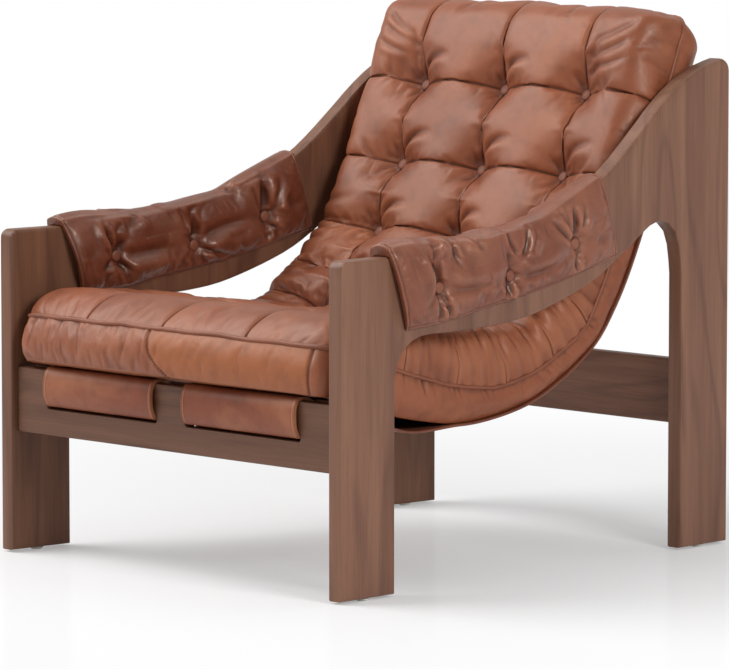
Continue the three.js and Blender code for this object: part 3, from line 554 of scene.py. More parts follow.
def folded(place, folds):
    """How far folds lift or sink each place on a skin. A fold is a valley that runs from its start to its
    end with a swing to one side, and stands up as a ridge along that side, or along the other side where its
    width is negative."""
    total = np.zeros(len(place))
    for start, end, swing, width, depth in folds:
        run = end - start
        reach = np.linalg.norm(run)
        run = run / reach
        near = np.nonzero(np.abs(place - (start + end) / 2).max(axis=1) < reach)[0]
        part = (place[near] - start) @ run / reach
        inside = np.clip(part, 0, 1)
        aside = (place[near] - start) @ np.array([-run[1], run[0]]) - 4 * swing * inside * (1 - inside)
        apart = np.hypot(aside, (part - inside) * reach)
        fade = np.clip(inside * 6, 0.25, 1) * np.clip((1 - inside) * 1.8, 0, 1)
        ridge = bell((aside * np.sign(swing) / width - 2.2) / 1.6)
        total[near] += depth * fade * (0.75 * ridge - 0.9 * bell(apart / width))
    return total


def mark_folds(piece, passes, depth):
    """Stores how far each point stands out of its surroundings, or lies below them, for the material."""
    pairs = np.empty(2 * len(piece.data.edges), np.int32)
    piece.data.edges.foreach_get("vertices", pairs)
    first, second = pairs[::2], pairs[1::2]
    start = points_of(piece)
    count = np.bincount(pairs, minlength=len(start))[:, None]
    smooth = start.copy()
    for _ in range(passes):
        total = np.zeros_like(smooth)
        np.add.at(total, first, smooth[second])
        np.add.at(total, second, smooth[first])
        smooth = (smooth + total / count) / 2
    out = ((start - smooth) * normals_of(piece)).sum(1)
    store(piece, fold=np.clip(out / depth, -1, 1))


def finer(piece):
    make_active(piece)
    ops.object.modifier_add(type="SUBSURF")
    piece.modifiers[-1].levels = 1
    piece.modifiers[-1].render_levels = 1
    ops.object.modifier_apply(modifier=piece.modifiers[-1].name)
    ops.object.shade_smooth()


rows_along = np.array(button_row_shares) * line_length
columns_across = np.array([-column_step, 0, column_step])
along_stops = [-front_reach, *rows_along, line_length + top_reach]
along_lines = np.concatenate(
    [between_seams(a, b, cushion_cell) for a, b in zip(along_stops, along_stops[1:])] + [along_stops[-1:]]
)
inner_lines = between_seams(0, column_step, cushion_cell)
edge_cells = round(edge_pillow_width / cushion_cell)
near = np.array(seam_fine_cells)
edge_shares = np.concatenate([[0, 0, 0], np.linspace(0, 1, edge_cells)[1:-1], [1, 1, 1]])
edge_offsets = np.concatenate(
    [[0], near, np.linspace(near[-1], -near[-1], edge_cells)[1:-1], -near[::-1], [0]]
)
half_cells = len(inner_lines) + len(edge_shares) - 1
last_row = len(along_lines) - 1
cushion, column, row, rise = sewn_cover(
    "seat_cushion_leather", 2 * half_cells, last_row, band_cells, lower_panel=False
)
column = column - half_cells
along = along_lines[row]
from_end = np.minimum(along + front_reach, line_length + top_reach - along)
at_back = read_shares(back_room_shares, along / line_length)
side_room = cushion_side_room + (cushion_back_room - cushion_side_room) * at_back
half_width = inner_face(along_seat(along)[0]) - side_room
half_width -= cushion_corner * (1 - ease_round(from_end, cushion_corner))
outside = np.maximum(np.abs(column) - len(inner_lines), 0)
across = np.where(
    np.abs(column) < len(inner_lines),
    inner_lines[np.minimum(np.abs(column), len(inner_lines) - 1)],
    column_step + (half_width - column_step) * edge_shares[outside] + edge_offsets[outside],
) * np.sign(column)
at_front = along < line_length / 2
on_side = np.abs(column) == half_cells
on_rim = on_side | (row == 0) | (row == last_row)
on_top = rise > 0.999

# height of the band and of the full pillows above the underside
band = cushion_depth * read_shares(band_height_shares, along / line_length)
crown = cushion_depth * read_shares(crown_height_shares, along / line_length) - crown_loss
dome = ease_round(half_width - np.abs(across), side_crown_round)
dome *= ease_round(along + front_reach, front_crown_round)
dome *= ease_round(line_length + top_reach - along, top_crown_round)

# the buttons pull the leather far down, the seams between them only a little
from_row = np.abs(along[:, None] - rows_along).min(1)
from_column = np.abs(across[:, None] - columns_across).min(1)
from_button = np.maximum(np.hypot(from_row, from_column) - button_radius, 0)
from_seam = np.minimum(from_row, from_column)
drop = np.maximum(
    button_drop * np.exp(-((from_button / tuft_spread) ** 1.3)), seam_drop * np.exp(-from_seam / seam_spread)
)
height = np.where(on_top, band + (np.maximum(crown - band, 0) - drop) * dome, band * rise)

# the band bulges between its bottom edge and the piping, and both ends bow out at their middle
end_turn = np.clip(1 - from_end / cushion_corner, 0, 1)
bulge = (band_bulge_share * side_room * np.sin(math.pi * rise) - underside_inset * (1 - rise) ** 4) * on_rim
bow_fade = np.clip(1 - from_end / bow_reach, 0, 1) ** 2
bow = np.where(at_front, -front_bow, top_bow) * bow_fade * (1 - (across / half_width) ** 2)
tuck = np.where(at_front, 0, -top_reach) * (1 - rise) * bow_fade
run = along + bow + tuck + bulge * end_turn * np.where(at_front, -1, 1) * on_rim
line_y, line_z, way_y, way_z = along_seat(run)
x = across + bulge * np.sqrt(1 - end_turn**2) * np.sign(across) * on_side
set_points(cushion, np.stack([x, line_y - way_z * height, line_z + way_y * height], axis=1))

# the leather is let out most in the bend beside the edges, and not at all along the seams
from_edge = np.minimum(half_width - np.abs(across), from_end)
in_bend = bell((along / line_length - 0.45) / 0.2) * (from_edge < bend_reach)
let_out = 0.55 + 0.45 * in_bend
let_out *= np.clip(from_seam / (8 * MM), 0.25, 1) * np.clip((along - rows_along[0]) / (40 * MM) + 1, 0.4, 1)
let_out = np.where(on_top, let_out, np.where(x < -20 * MM, 0.6, 0.08))
held = (rise < 0.001) | (on_top & on_rim) | (from_button < 1 * MM) & on_top
weigh(cushion, "held", held.astype(float))
weigh(cushion, "taut", 1 - let_out)
store(
    cushion, along=along, across=across, rise=rise, from_row=np.where(on_top, from_row, 1),
    from_column=np.where(on_top, from_column, 1), column_at=column, row_at=row,
)
swell = np.where(on_top, pillow_swell, band_swell_share * side_room)
inflate(cushion, pressure=4, growth=0.1, cap=swell, stiffness=15, bending=0.3)
sewn_points = points_of(cushion)
finer(cushion)

# every seam is a narrow groove between two rolled edges, and folds start at the buttons and at the piping
groove_depth, groove_width = 2.4 * MM, 2 * MM
gap = np.minimum(stored(cushion, "from_row"), stored(cushion, "from_column"))
out = -groove_depth * bell(gap / groove_width)
place = np.stack([stored(cushion, "across"), stored(cushion, "along")], axis=1)
top_face = stored(cushion, "rise") > 0.999
folds = []
chance = np.random.default_rng(7)
for j, row_along in enumerate(rows_along):
    for column_across in columns_across:
        for angle, *sizes in button_folds:
            swing, reach, width, depth = np.array(sizes) * MM
            angle, reach = angle + chance.uniform(-8, 8), reach * chance.uniform(0.8, 1.15)
            depth *= chance.uniform(0.6, 1.1) * (1 if j >= first_back_row else 0.7)
            way = np.array([math.cos(math.radians(angle)), math.sin(math.radians(angle))])
            start = np.array([column_across, row_along]) + way * (button_radius + 2 * MM)
            folds.append((start, start + way * reach, swing, width, depth))
        if j >= first_back_row:
            here = np.array([column_across, row_along])
            first, last = np.array(brow_fold[:2]) * MM
            swing, width, depth = np.array(brow_fold[2:]) * MM
            depth *= chance.uniform(0.75, 1.05) * (0.7 if j == first_back_row or column_across > 0 else 1)
            folds.append((here + first, here + last * chance.uniform(0.85, 1.1), swing, width, depth))
for side in (-1, 1):
    for row_along in rows_along[:6]:
        for sizes in edge_folds:
            ahead, reach, lean, width, depth = np.array(sizes) * MM
            depth *= 0.45 if side < 0 or row_along > rows_along[first_back_row] else 1
            at = row_along + ahead + chance.uniform(-4, 4) * MM
            edge = side * (inner_face(along_seat(at)[0]) - cushion_side_room - 4 * MM)
            start = np.array([edge, at])
            end = start + np.array([-side * reach * chance.uniform(0.7, 1.1), lean])
            folds.append((start, end, 3 * MM * side, width, depth * chance.uniform(0.6, 1.1)))
for side, *sizes in corner_folds:
    ahead, reach, lean, width, depth = np.array(sizes) * MM
    start = np.array([side * (float(half_width[-1]) - 6 * MM), line_length + ahead])
    folds.append((start, start + np.array([-side * reach, lean]), 5 * MM * side, width, depth))
out += folded(place, folds) * top_face

# the column seams are topstitched on their left, and the front band is sewn from two hides
beside = np.min([np.abs(place[:, 0] - c + topstitch_inset) for c in columns_across], axis=0)
out -= topstitch_depth * bell(beside / topstitch_width) * top_face
front_band = (stored(cushion, "row_at") < 0.01) & (stored(cushion, "rise") < 0.999)
level = stored(cushion, "rise")
from_band_seam = place[:, 0] - read_shares(band_seam_places, level) * MM
corner_gap = half_width[row == 0].max() - place[:, 0]
band_gap = np.where(front_band, np.minimum(np.abs(from_band_seam), corner_gap), 1)
out -= band_seam_depth * bell(band_gap / band_seam_width)
out += front_band * 1.4 * MM * bell((np.abs(from_band_seam) - 7 * MM) / (4 * MM))
for _ in range(band_puckers):
    at, lean = chance.uniform(-0.34, -0.05), chance.uniform(-0.02, 0.02)
    width, depth, low = chance.uniform(5, 10) * MM, chance.uniform(0.5, 1.6) * MM, chance.uniform(0, 0.5)
    pucker = bell((place[:, 0] - at - lean * level) / width) * np.clip(level / 0.2, 0, 1)
    out -= front_band * depth * pucker * np.clip((level - low) / 0.3, 0, 1)
side_band = (np.abs(stored(cushion, "column_at")) > half_cells - 0.01) & (level < 0.999)
for _ in range(4 * band_puckers):
    at, width = chance.uniform(0.02, 0.95) * line_length, chance.uniform(3, 6) * MM
    depth, low = chance.uniform(0.4, 1.5) * MM, chance.uniform(0.35, 0.8)
    pucker = bell((place[:, 1] - at - 0.02 * (1 - level)) / width)
    out -= side_band * depth * pucker * np.clip((level - low) / 0.25, 0, 1)
# painted shade in the seam grooves, along the band's seam and in a ring round each button, stored as seam
from_button = np.min(
    [np.hypot(place[:, 0] - c, place[:, 1] - r) for c in columns_across for r in rows_along], axis=0
) - button_radius
ring = 0.75 * bell(from_button / (2 * MM)) * top_face
seam = np.maximum(0.85 * bell(gap / (1.2 * MM)), ring)
seam = np.maximum(seam, 0.8 * bell(band_gap / (1.5 * MM)))
pillow = np.searchsorted(rows_along, place[:, 1]) * 4 + np.searchsorted(columns_across, place[:, 0])
tone = chance.uniform(-0.45, 0.4, 40)[pillow] * top_face + front_band * np.where(from_band_seam > 0, 0.1, -0.1)
store(cushion, seam=seam, tone=tone, panel=front_band * (from_band_seam > 0))
set_points(cushion, points_of(cushion) + normals_of(cushion) * out[:, None])

# the underside closes the cover, straight across from edge to edge
make_active(cushion)
edge_column = np.abs(stored(cushion, "column_at")) > half_cells - 0.01
ops.object.mode_set(mode="EDIT")
ops.mesh.select_all(action="DESELECT")
shape = bmesh.from_edit_mesh(cushion.data)
shape.verts.ensure_lookup_table()
for edge in shape.edges:
    ends = [vertex.index for vertex in edge.verts]
    edge.select_set(edge.is_boundary and bool(edge_column[ends].all()))
bmesh.update_edit_mesh(cushion.data)
ops.mesh.bridge_edge_loops()
ops.mesh.select_all(action="DESELECT")
ops.mesh.select_mode(type="EDGE")
ops.mesh.select_non_manifold(extend=False)
ops.mesh.fill_holes(sides=0)
ops.mesh.select_all(action="SELECT")
ops.mesh.normals_make_consistent(inside=False)
ops.mesh.select_mode(type="VERT")
ops.object.mode_set(mode="OBJECT")
mark_folds(cushion, fold_passes, cushion_fold_depth)


def leather_group():
    """Oiled aniline hide: cloudy colour, a pebbled grain with hairline creases, painted shade in its folds and
    seams, and rubbed paler on its ridges."""
    marks = ("Fold", "Seam", "Tone", "Panel", "Shine")
    group, start, end = new_group("leather_grain", ("Base", "Dark", "Light", "Tan"), marks)
    noise, ranged, mixed, sums = mask_tools(group, start)
    base, dark, light = (start.outputs[key] for key in ("Base", "Dark", "Light"))
    fold, seam, tone = (start.outputs[key] for key in ("Fold", "Seam", "Tone"))
    clouds = noise(9, detail=4, distortion=0.6)
    stains = noise(31, detail=5, distortion=0.3)
    wrinkles = noise(120, detail=5, distortion=1.8)
    grain = noise(900, detail=3)
    base = mixed(start.outputs["Panel"], base, start.outputs["Tan"])
    colour = mixed(ranged(clouds, 0.42, 0.7, 0, 0.42), base, light)
    colour = mixed(ranged(stains, 0.5, 0.75, 0, 0.32), colour, dark)
    # tone shifts a hide paler or darker: at random on the cushion's pillows, and as painted shade on the left arm pad
    colour = mixed(ranged(tone, 0, 1, 0, 0.5), colour, light)
    colour = mixed(ranged(tone, 0, -1, 0, 0.5), colour, dark)
    # painted shade: the hide is darkened where it lies below its surroundings, in its folds and creases
    colour = mixed(ranged(fold, 0, -0.9, 0, 0.85), colour, dark)
    colour = mixed(ranged(fold, 0.08, 1, 0, 0.6), colour, light)
    hairline = sums("ABSOLUTE", sums("SUBTRACT", wrinkles, 0.5), 0)
    colour = mixed(ranged(hairline, 0.0, 0.02, 0.22, 0), colour, dark)
    # painted shade: seam grooves, rings round the buttons and stitch lines are multiplied by seam_shade
    seam_dark = put(group, "ShaderNodeMix", data_type="RGBA", blend_type="MULTIPLY")
    seam_dark.inputs["B"].default_value = seam_shade
    group.links.new(seam, seam_dark.inputs["Factor"])
    group.links.new(colour, seam_dark.inputs["A"])
    rough = sums("ADD", ranged(clouds, 0.3, 0.7, 0.4, 0.5), ranged(grain, 0.35, 0.65, -0.04, 0.05))
    rough = sums("ADD", rough, ranged(fold, 0, 1, 0, -0.05))
    rough = sums("ADD", rough, ranged(seam, 0, 1, 0, 0.4))
    rough = sums("SUBTRACT", rough, start.outputs["Shine"])
    height = sums("ADD", ranged(grain, 0.3, 0.7, 0, 0.3), ranged(hairline, 0, 0.03, 0, 0.7))
    for value, key in ((seam_dark.outputs["Result"], "Color"), (rough, "Roughness"), (height, "Height")):
        group.links.new(value, end.inputs[key])
    return group


# seam_shade is the painted shade multiplied into the grooves of seams and stitches and round the buttons
tan_hide, seam_shade = (150, 84, 46), (0.14, 0.08, 0.06, 1)
leather_relief, warm_shine = 0.35, (1, 0.86, 0.76, 1)
leather_grain = leather_group()


def leather(name, base, dark, light, gloss=0.45, shine=0.0):
    """A hide that reads its folds, seams, tone and panel from the mesh's own attributes."""
    looks = {"Specular IOR Level": gloss, "Specular Tint": warm_shine}
    material, tree, grain = grained(name, leather_grain, base, dark, light, leather_relief, looks)
    grain.inputs["Tan"].default_value = srgb(*tan_hide)
    grain.inputs["Shine"].default_value = shine
    for key in ("Fold", "Seam", "Tone", "Panel"):
        wire(tree, (put(tree, "ShaderNodeAttribute", attribute_name=key.lower()), "Fac", grain, key))
    return material


cushion_hide = leather("leather_cushion", (133, 72, 46), (66, 30, 19), (162, 98, 66), 0.45, 0.03)
paint(cushion, cushion_hide)
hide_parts("seat_cushion")
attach(cushion, "root")


# Cushion piping
# A cord in a strip of the same leather, sewn in along the top edge of the boxing band.
piping_radius = 3.7 * MM
piping_lift = 1 * MM


def rolled(name, points, radius, sides, up):
    """A closed round roll along a loop of points, its seams merged."""
    deselect()
    ops.mesh.primitive_grid_add(x_subdivisions=sides, y_subdivisions=len(points), size=2)
    roll = bpy.context.object
    roll.name = name
    unit = points_of(roll)
    side = np.rint((unit[:, 0] + 1) / 2 * sides).astype(int)
    step = np.rint((unit[:, 1] + 1) / 2 * len(points)).astype(int) % len(points)
    way = np.roll(points, -1, axis=0) - np.roll(points, 1, axis=0)
    way /= np.linalg.norm(way, axis=1)[:, None]
    out = np.cross(way, up)
    out /= np.linalg.norm(out, axis=1)[:, None]
    above = np.cross(out, way)
    angle = (side % sides) * 2 * math.pi / sides
    around = np.cos(angle)[:, None] * out[step] + np.sin(angle)[:, None] * above[step]
    set_points(roll, points[step] + radius * around)
    make_active(roll)
    ops.object.mode_set(mode="EDIT")
    ops.mesh.select_all(action="SELECT")
    ops.mesh.remove_doubles(threshold=0.05 * MM)
    ops.mesh.normals_make_consistent(inside=False)
    ops.object.mode_set(mode="OBJECT")
    ops.object.shade_smooth()
    return roll


def rim_order():
    """The points of the cushion's upper edge, in order round it."""
    walk = [(c, 0) for c in range(-half_cells, half_cells)] + [(half_cells, r) for r in range(last_row)]
    walk += [(c, last_row) for c in range(half_cells, -half_cells, -1)]
    walk += [(-half_cells, r) for r in range(last_row, 0, -1)]
    where = {(int(column[i]), int(row[i])): i for i in np.nonzero(on_rim & on_top)[0]}
    return np.array([where[place] for place in walk])


edge_order = rim_order()
edge_up = np.stack([np.zeros(len(edge_order)), -way_z[edge_order], way_y[edge_order]], axis=1)
edge_run = run_along(sewn_points[edge_order]) / (60 * MM)
wave = 0.7 * MM * (np.sin(edge_run * 1.9) + np.sin(edge_run * 3.3 + 1))
edge_points = sewn_points[edge_order] + edge_up * (piping_lift + wave)[:, None]
piping = rolled("seat_cushion_piping", edge_points, piping_radius, 12, edge_up)
piping_hide = leather("leather_piping", (124, 68, 46), (64, 30, 20), (156, 96, 70))
paint(piping, piping_hide)
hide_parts("seat_cushion")
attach(piping, "root")


# Cushion buttons
# Domed metal buttons covered in the same leather, pulled down on twine through the whole cushion.
button_rise = 2.6 * MM
button_lift = 0.4 * MM


def covered_button(name, radius, rise):
    """A domed button whose leather is drawn over its rim, lying flat with its face up."""
    deselect()
    ops.mesh.primitive_uv_sphere_add(segments=28, ring_count=14, radius=1)
    button = bpy.context.object
    button.name = name
    points = points_of(button)
    out = np.hypot(points[:, 0], points[:, 1])
    turn = np.arctan2(points[:, 1], points[:, 0])
    low = points[:, 2] < 0
    full = np.where(low, -0.55 * np.abs(points[:, 2]) ** 0.6, np.maximum(points[:, 2], 0) ** 0.8)
    pleats = 1 + np.where(low, 0.03 * np.cos(14 * turn), 0)
    points[:, :2] *= (radius * pleats * np.maximum(out, 1e-6) ** -0.18)[:, None]
    points[:, 2] = full * rise
    set_points(button, points)
    ops.object.shade_smooth()
    return button


def stand(piece, place, x_way, z_way):
    """Puts a piece drawn round the origin in its place, in its mesh, with its Z along the way given."""
    z_way = Vector(z_way).normalized()
    x_way = (Vector(x_way) - Vector(x_way).dot(z_way) * z_way).normalized()
    turn = Matrix((x_way, z_way.cross(x_way), z_way)).transposed().to_4x4()
    piece.data.transform(Matrix.Translation(place) @ turn)


def a_copy(piece, name):
    other = piece.copy()
    other.data = piece.data.copy()
    other.name = name
    bpy.context.scene.collection.objects.link(other)
    return other


pattern_button = covered_button("tuft_button", button_radius, button_rise)
# the buttons' leather is the cushion's made a little darker, as painted shade for their sunken dimples
button_hide = leather("leather_buttons", (120, 64, 45), (60, 28, 19), (140, 84, 62), 0.3)
paint(pattern_button, button_hide)
for j, row_along in enumerate(rows_along):
    for i, column_across in enumerate(columns_across):
        here = np.argmin(
            np.abs(along - row_along) + np.abs(across - column_across) + np.where(on_top, 0, 1)
        )
        button = a_copy(pattern_button, f"seat_cushion_button_{j + 1}_{i + 1}")
        up = Vector((0, -way_z[here], way_y[here]))
        stand(button, Vector(sewn_points[here]) + button_lift * up, (1, 0, 0), up)
        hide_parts("seat_cushion")
        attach(button, "root")
bpy.data.objects.remove(pattern_button)


# Sling
# One thick hide with a folded edge, hung between the front rail and the upper back rail. It hugs the
# cushion's underside and hangs a little clear of it behind the front rail.
sling_thick = 4 * MM
sling_side_room = 14 * MM
sling_droop = 18 * MM
sling_front_share, sling_rear_share = 0.05, 0.915
sling_lip_share, sling_lip_droop = 0.024, 2.4 * MM
droop_end_share = 0.27
sling_gap = 0.3 * MM
sling_edge_round = 1.5 * MM
sling_front_half = 0.36
lip_ease, lip_rows = 9 * MM, 12
sling_columns, sling_rows = 90, 150
sling, column, row, rise = sewn_cover("sling_hide", sling_columns, sling_rows, 3)
strap_low, strap_high = (abs(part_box("sling_strap_front_right")[i][0]) for i in (0, 1))
# between and beside the straps its front edge reaches further, as a lip that droops over the rail
across = 2 * column / sling_columns - 1
from_middle = np.abs(across) * sling_front_half
beside_strap = np.clip(np.maximum(strap_low - from_middle, from_middle - strap_high) / lip_ease, 0, 1)
start_share = sling_front_share - sling_lip_share * beside_strap
share = start_share + (sling_rear_share - start_share) * row / sling_rows
part = np.clip((share - sling_front_share) / (droop_end_share - sling_front_share), 0, 1)
hang = sling_gap + sling_droop * np.sin(math.pi * part) ** 2
hang += sling_lip_droop * beside_strap * np.clip(1 - row / lip_rows, 0, 1)
line_y, line_z, way_y, way_z = along_seat(share * line_length)
sling_half = inner_face(line_y) - sling_side_room
below = hang + sling_thick * (1 - rise)
edge_round = sling_edge_round * (1 - np.sin(math.pi * rise))
x = across * (sling_half - edge_round * (np.abs(across) == 1))
set_points(sling, np.stack([x, line_y + way_z * below, line_z - way_y * below], axis=1))
ops.object.shade_smooth()
sling_hide = leather("leather_sling", (110, 60, 42), (58, 28, 19), (140, 86, 62))
paint(sling, sling_hide)
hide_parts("sling")
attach(sling, "root")


# Sling straps
# Four wide leather bands sewn under the sling's ends. Each goes over its rail, bellies out before it,
# passes back through the slot and is held behind it by a steel rod in its hem.
rail_thick, rail_edge_round = 22 * MM, 4 * MM
slot_below_top = 59 * MM
strap_thick, strap_bulge, strap_overlap = 5 * MM, 11 * MM, 52 * MM
rod_radius = 4 * MM
fit_gap, slide_gap = 0.3 * MM, 0.5 * MM
front_rail_middle = (front_line + 21 * MM, 255 * MM)
front_rail_height, upper_rail_height = 108 * MM, 92 * MM
upper_rail_share = 0.888
strap_bulge_shares = [(0.7, 0.13), (0.96, 0.3), (1, 0.46), (0.9, 0.66), (0.5, 0.84)]
curl_steps, curl_turn_share = 24, 0.8
hem_radius = rod_radius + fit_gap + strap_thick


def strap_line(middle, lean, rail_height, away, lead_shares):
    """Where a strap runs, as Y and Z: from under the sling over the rail, through the slot, round the rod."""
    half_thick, top = rail_thick / 2, rail_height / 2
    turn_radius = rail_edge_round + 2 * fit_gap + strap_thick / 2
    slot_level = top - slot_below_top
    proud = half_thick + strap_bulge - strap_thick / 2
    cos_lean, sin_lean = math.cos(lean), math.sin(lean)
    lead = []
    for i, share in enumerate(lead_shares):
        y, z, way_y, way_z = (float(v) for v in along_seat(share * line_length))
        part = (share - sling_front_share) / (droop_end_share - sling_front_share)
        hang = sling_droop * math.sin(math.pi * part) ** 2 if 0 < part < 1 else 0
        below = fit_gap + hang + sling_thick + 3 * fit_gap + strap_thick / 2
        below += strap_thick / 2 if i == len(lead_shares) - 1 else 0
        y, z = y + way_z * below - middle[0], z - way_y * below - middle[1]
        lead.append((away * (y * cos_lean - z * sin_lean), y * sin_lean + z * cos_lean))

    def around_edge(side, angle):
        return (
            side * (half_thick - rail_edge_round) + turn_radius * math.cos(angle),
            top - rail_edge_round + turn_radius * math.sin(angle),
        )

    quarter = math.pi / 2
    bulge = [(half_thick + (proud - half_thick) * a, top - b * slot_below_top) for a, b in strap_bulge_shares]
    wrap = [
        around_edge(-1, quarter * 4 / 3), around_edge(-1, quarter), around_edge(1, quarter),
        around_edge(1, quarter / 2), *bulge, (half_thick - rail_edge_round / 2, slot_level + 2.1 * MM),
        (-half_thick - fit_gap, slot_level),
    ]
    hem_line = rod_radius + fit_gap + strap_thick / 2
    centre = (-half_thick - fit_gap - hem_radius, slot_level - hem_line)
    angles = quarter + curl_turn_share * 2 * math.pi * np.arange(1, curl_steps + 1) / curl_steps
    curl = np.stack([centre[0] + hem_line * np.cos(angles), centre[1] + hem_line * np.sin(angles)], axis=1)
    points = np.vstack([spline_points([*lead, *wrap], 1, 1, 24), [(centre[0], slot_level)], curl])
    out, up = away * points[:, 0], points[:, 1]
    return np.stack([middle[0] + cos_lean * out + sin_lean * up, middle[1] - sin_lean * out + cos_lean * up], 1)


upper_y, upper_z, upper_way_y, upper_way_z = (float(v) for v in along_seat(upper_rail_share * line_length))
upper_offset = 3 * fit_gap + sling_thick + 2 * hem_radius + slide_gap + rail_thick / 2
upper_rail_middle = (upper_y + upper_way_z * upper_offset, upper_z - upper_way_y * upper_offset)
upper_lean = math.atan2(upper_way_y, upper_way_z)
overlap_share = strap_overlap / line_length
strap_lines = {
    "front": strap_line(
        front_rail_middle, 0, front_rail_height, -1,
        [sling_front_share + overlap_share, sling_front_share + overlap_share / 2, sling_front_share],
    ),
    "rear": strap_line(
        upper_rail_middle, upper_lean, upper_rail_height, 1,
        [sling_rear_share - overlap_share, sling_rear_share - overlap_share / 2, sling_rear_share],
    ),
}


def stitches(name, path, ups, pitch=5 * MM, length=3.4 * MM, radius=0.45 * MM):
    """A row of thread stitches along a path, each lying on the leather with its ends drawn in."""
    run = run_along(path)
    count = int(run[-1] / pitch)
    at = (np.arange(count) + 0.5) * run[-1] / count
    middle, up, ahead = (
        np.stack([np.interp(at + off, run, values[:, i]) for i in range(3)], axis=1)
        for values, off in ((path, 0), (ups, 0), (path, 0.5 * MM))
    )
    way = ahead - middle
    way /= np.linalg.norm(way, axis=1)[:, None]
    aside = np.cross(way, up)
    aside /= np.linalg.norm(aside, axis=1)[:, None]
    up = np.cross(aside, way)
    deselect()
    ops.mesh.primitive_uv_sphere_add(segments=6, ring_count=4, radius=1)
    thread = bpy.context.object
    thread.name = name
    unit = points_of(thread)
    ops.object.modifier_add(type="ARRAY")
    thread.modifiers[-1].count = count
    ops.object.modifier_apply(modifier=thread.modifiers[-1].name)
    sunk = (1 - unit[:, 2:] ** 2) * 0.4 * radius
    lengths = [unit[:, :1] * radius, (unit[:, 1:2] * radius + sunk), unit[:, 2:] * length / 2]
    places = sum(size[None] * ways[:, None] for size, ways in zip(lengths, (aside, up, way))) + middle[:, None]
    set_points(thread, places.reshape(-1, 3))
    ops.object.shade_smooth()
    return thread


def plain_grain(name, colours, scale, roughness, metallic, depth):
    """A fine even grain from one colour to another, as on thread, metal and nylon."""
    material, tree, output = new_material(name)
    coordinate = put(tree, "ShaderNodeTexCoord")
    cloud = put(tree, "ShaderNodeTexNoise", {"Scale": scale, "Detail": 6})
    colour = put(tree, "ShaderNodeMix", {"A": srgb(*colours[0]), "B": srgb(*colours[1])}, data_type="RGBA")
    rough = put(tree, "ShaderNodeMapRange", {"To Min": roughness[0], "To Max": roughness[1]})
    wire(
        tree, (coordinate, "Object", cloud, "Vector"), (cloud, "Fac", colour, "Factor"),
        (cloud, "Fac", rough, "Value"),
    )
    parts = colour.outputs["Result"], rough.outputs["Result"], cloud.outputs["Fac"]
    surface(tree, output, *parts, 1, depth, {"Metallic": metallic})
    return material


thread_brown = plain_grain("thread_brown", ((92, 54, 38), (150, 100, 74)), 1400, (0.6, 0.6), 0, 0.1 * MM)
strap_columns, strap_rows = 44, 96
strap_edge_lines = np.array([0, 0.8, 1.6, 2.3, 3, 3.7, 5, 6.2, 7.6, 8.4, 9.2, 10.5]) * MM
strap_stitch_insets = (3 * MM, 8.4 * MM)
strap_mouth = 288
# the rolled edge, the ridge between the two rows of stitches, and the stitches' own grooves: how strong, how
# far from the strap's edge and how wide, in mm. The ridges are coloured paler.
strap_relief = [(0.6, 1.2, 1.1), (0.7, 5.6, 1.7), (-0.6, 3, 0.7), (-0.6, 8.4, 0.7)]
strap_pale = [(0.95, 0.6, 1.6), (0.7, 5.6, 1.6)]
slot_filling = 1.6 * MM


def lines_beside(inward, lines):
    return sum(strength * bell((inward - away * MM) / (width * MM)) for strength, away, width in lines)


def face_out(piece):
    make_active(piece)
    ops.object.mode_set(mode="EDIT")
    ops.mesh.select_all(action="SELECT")
    ops.mesh.normals_make_consistent(inside=False)
    ops.object.mode_set(mode="OBJECT")


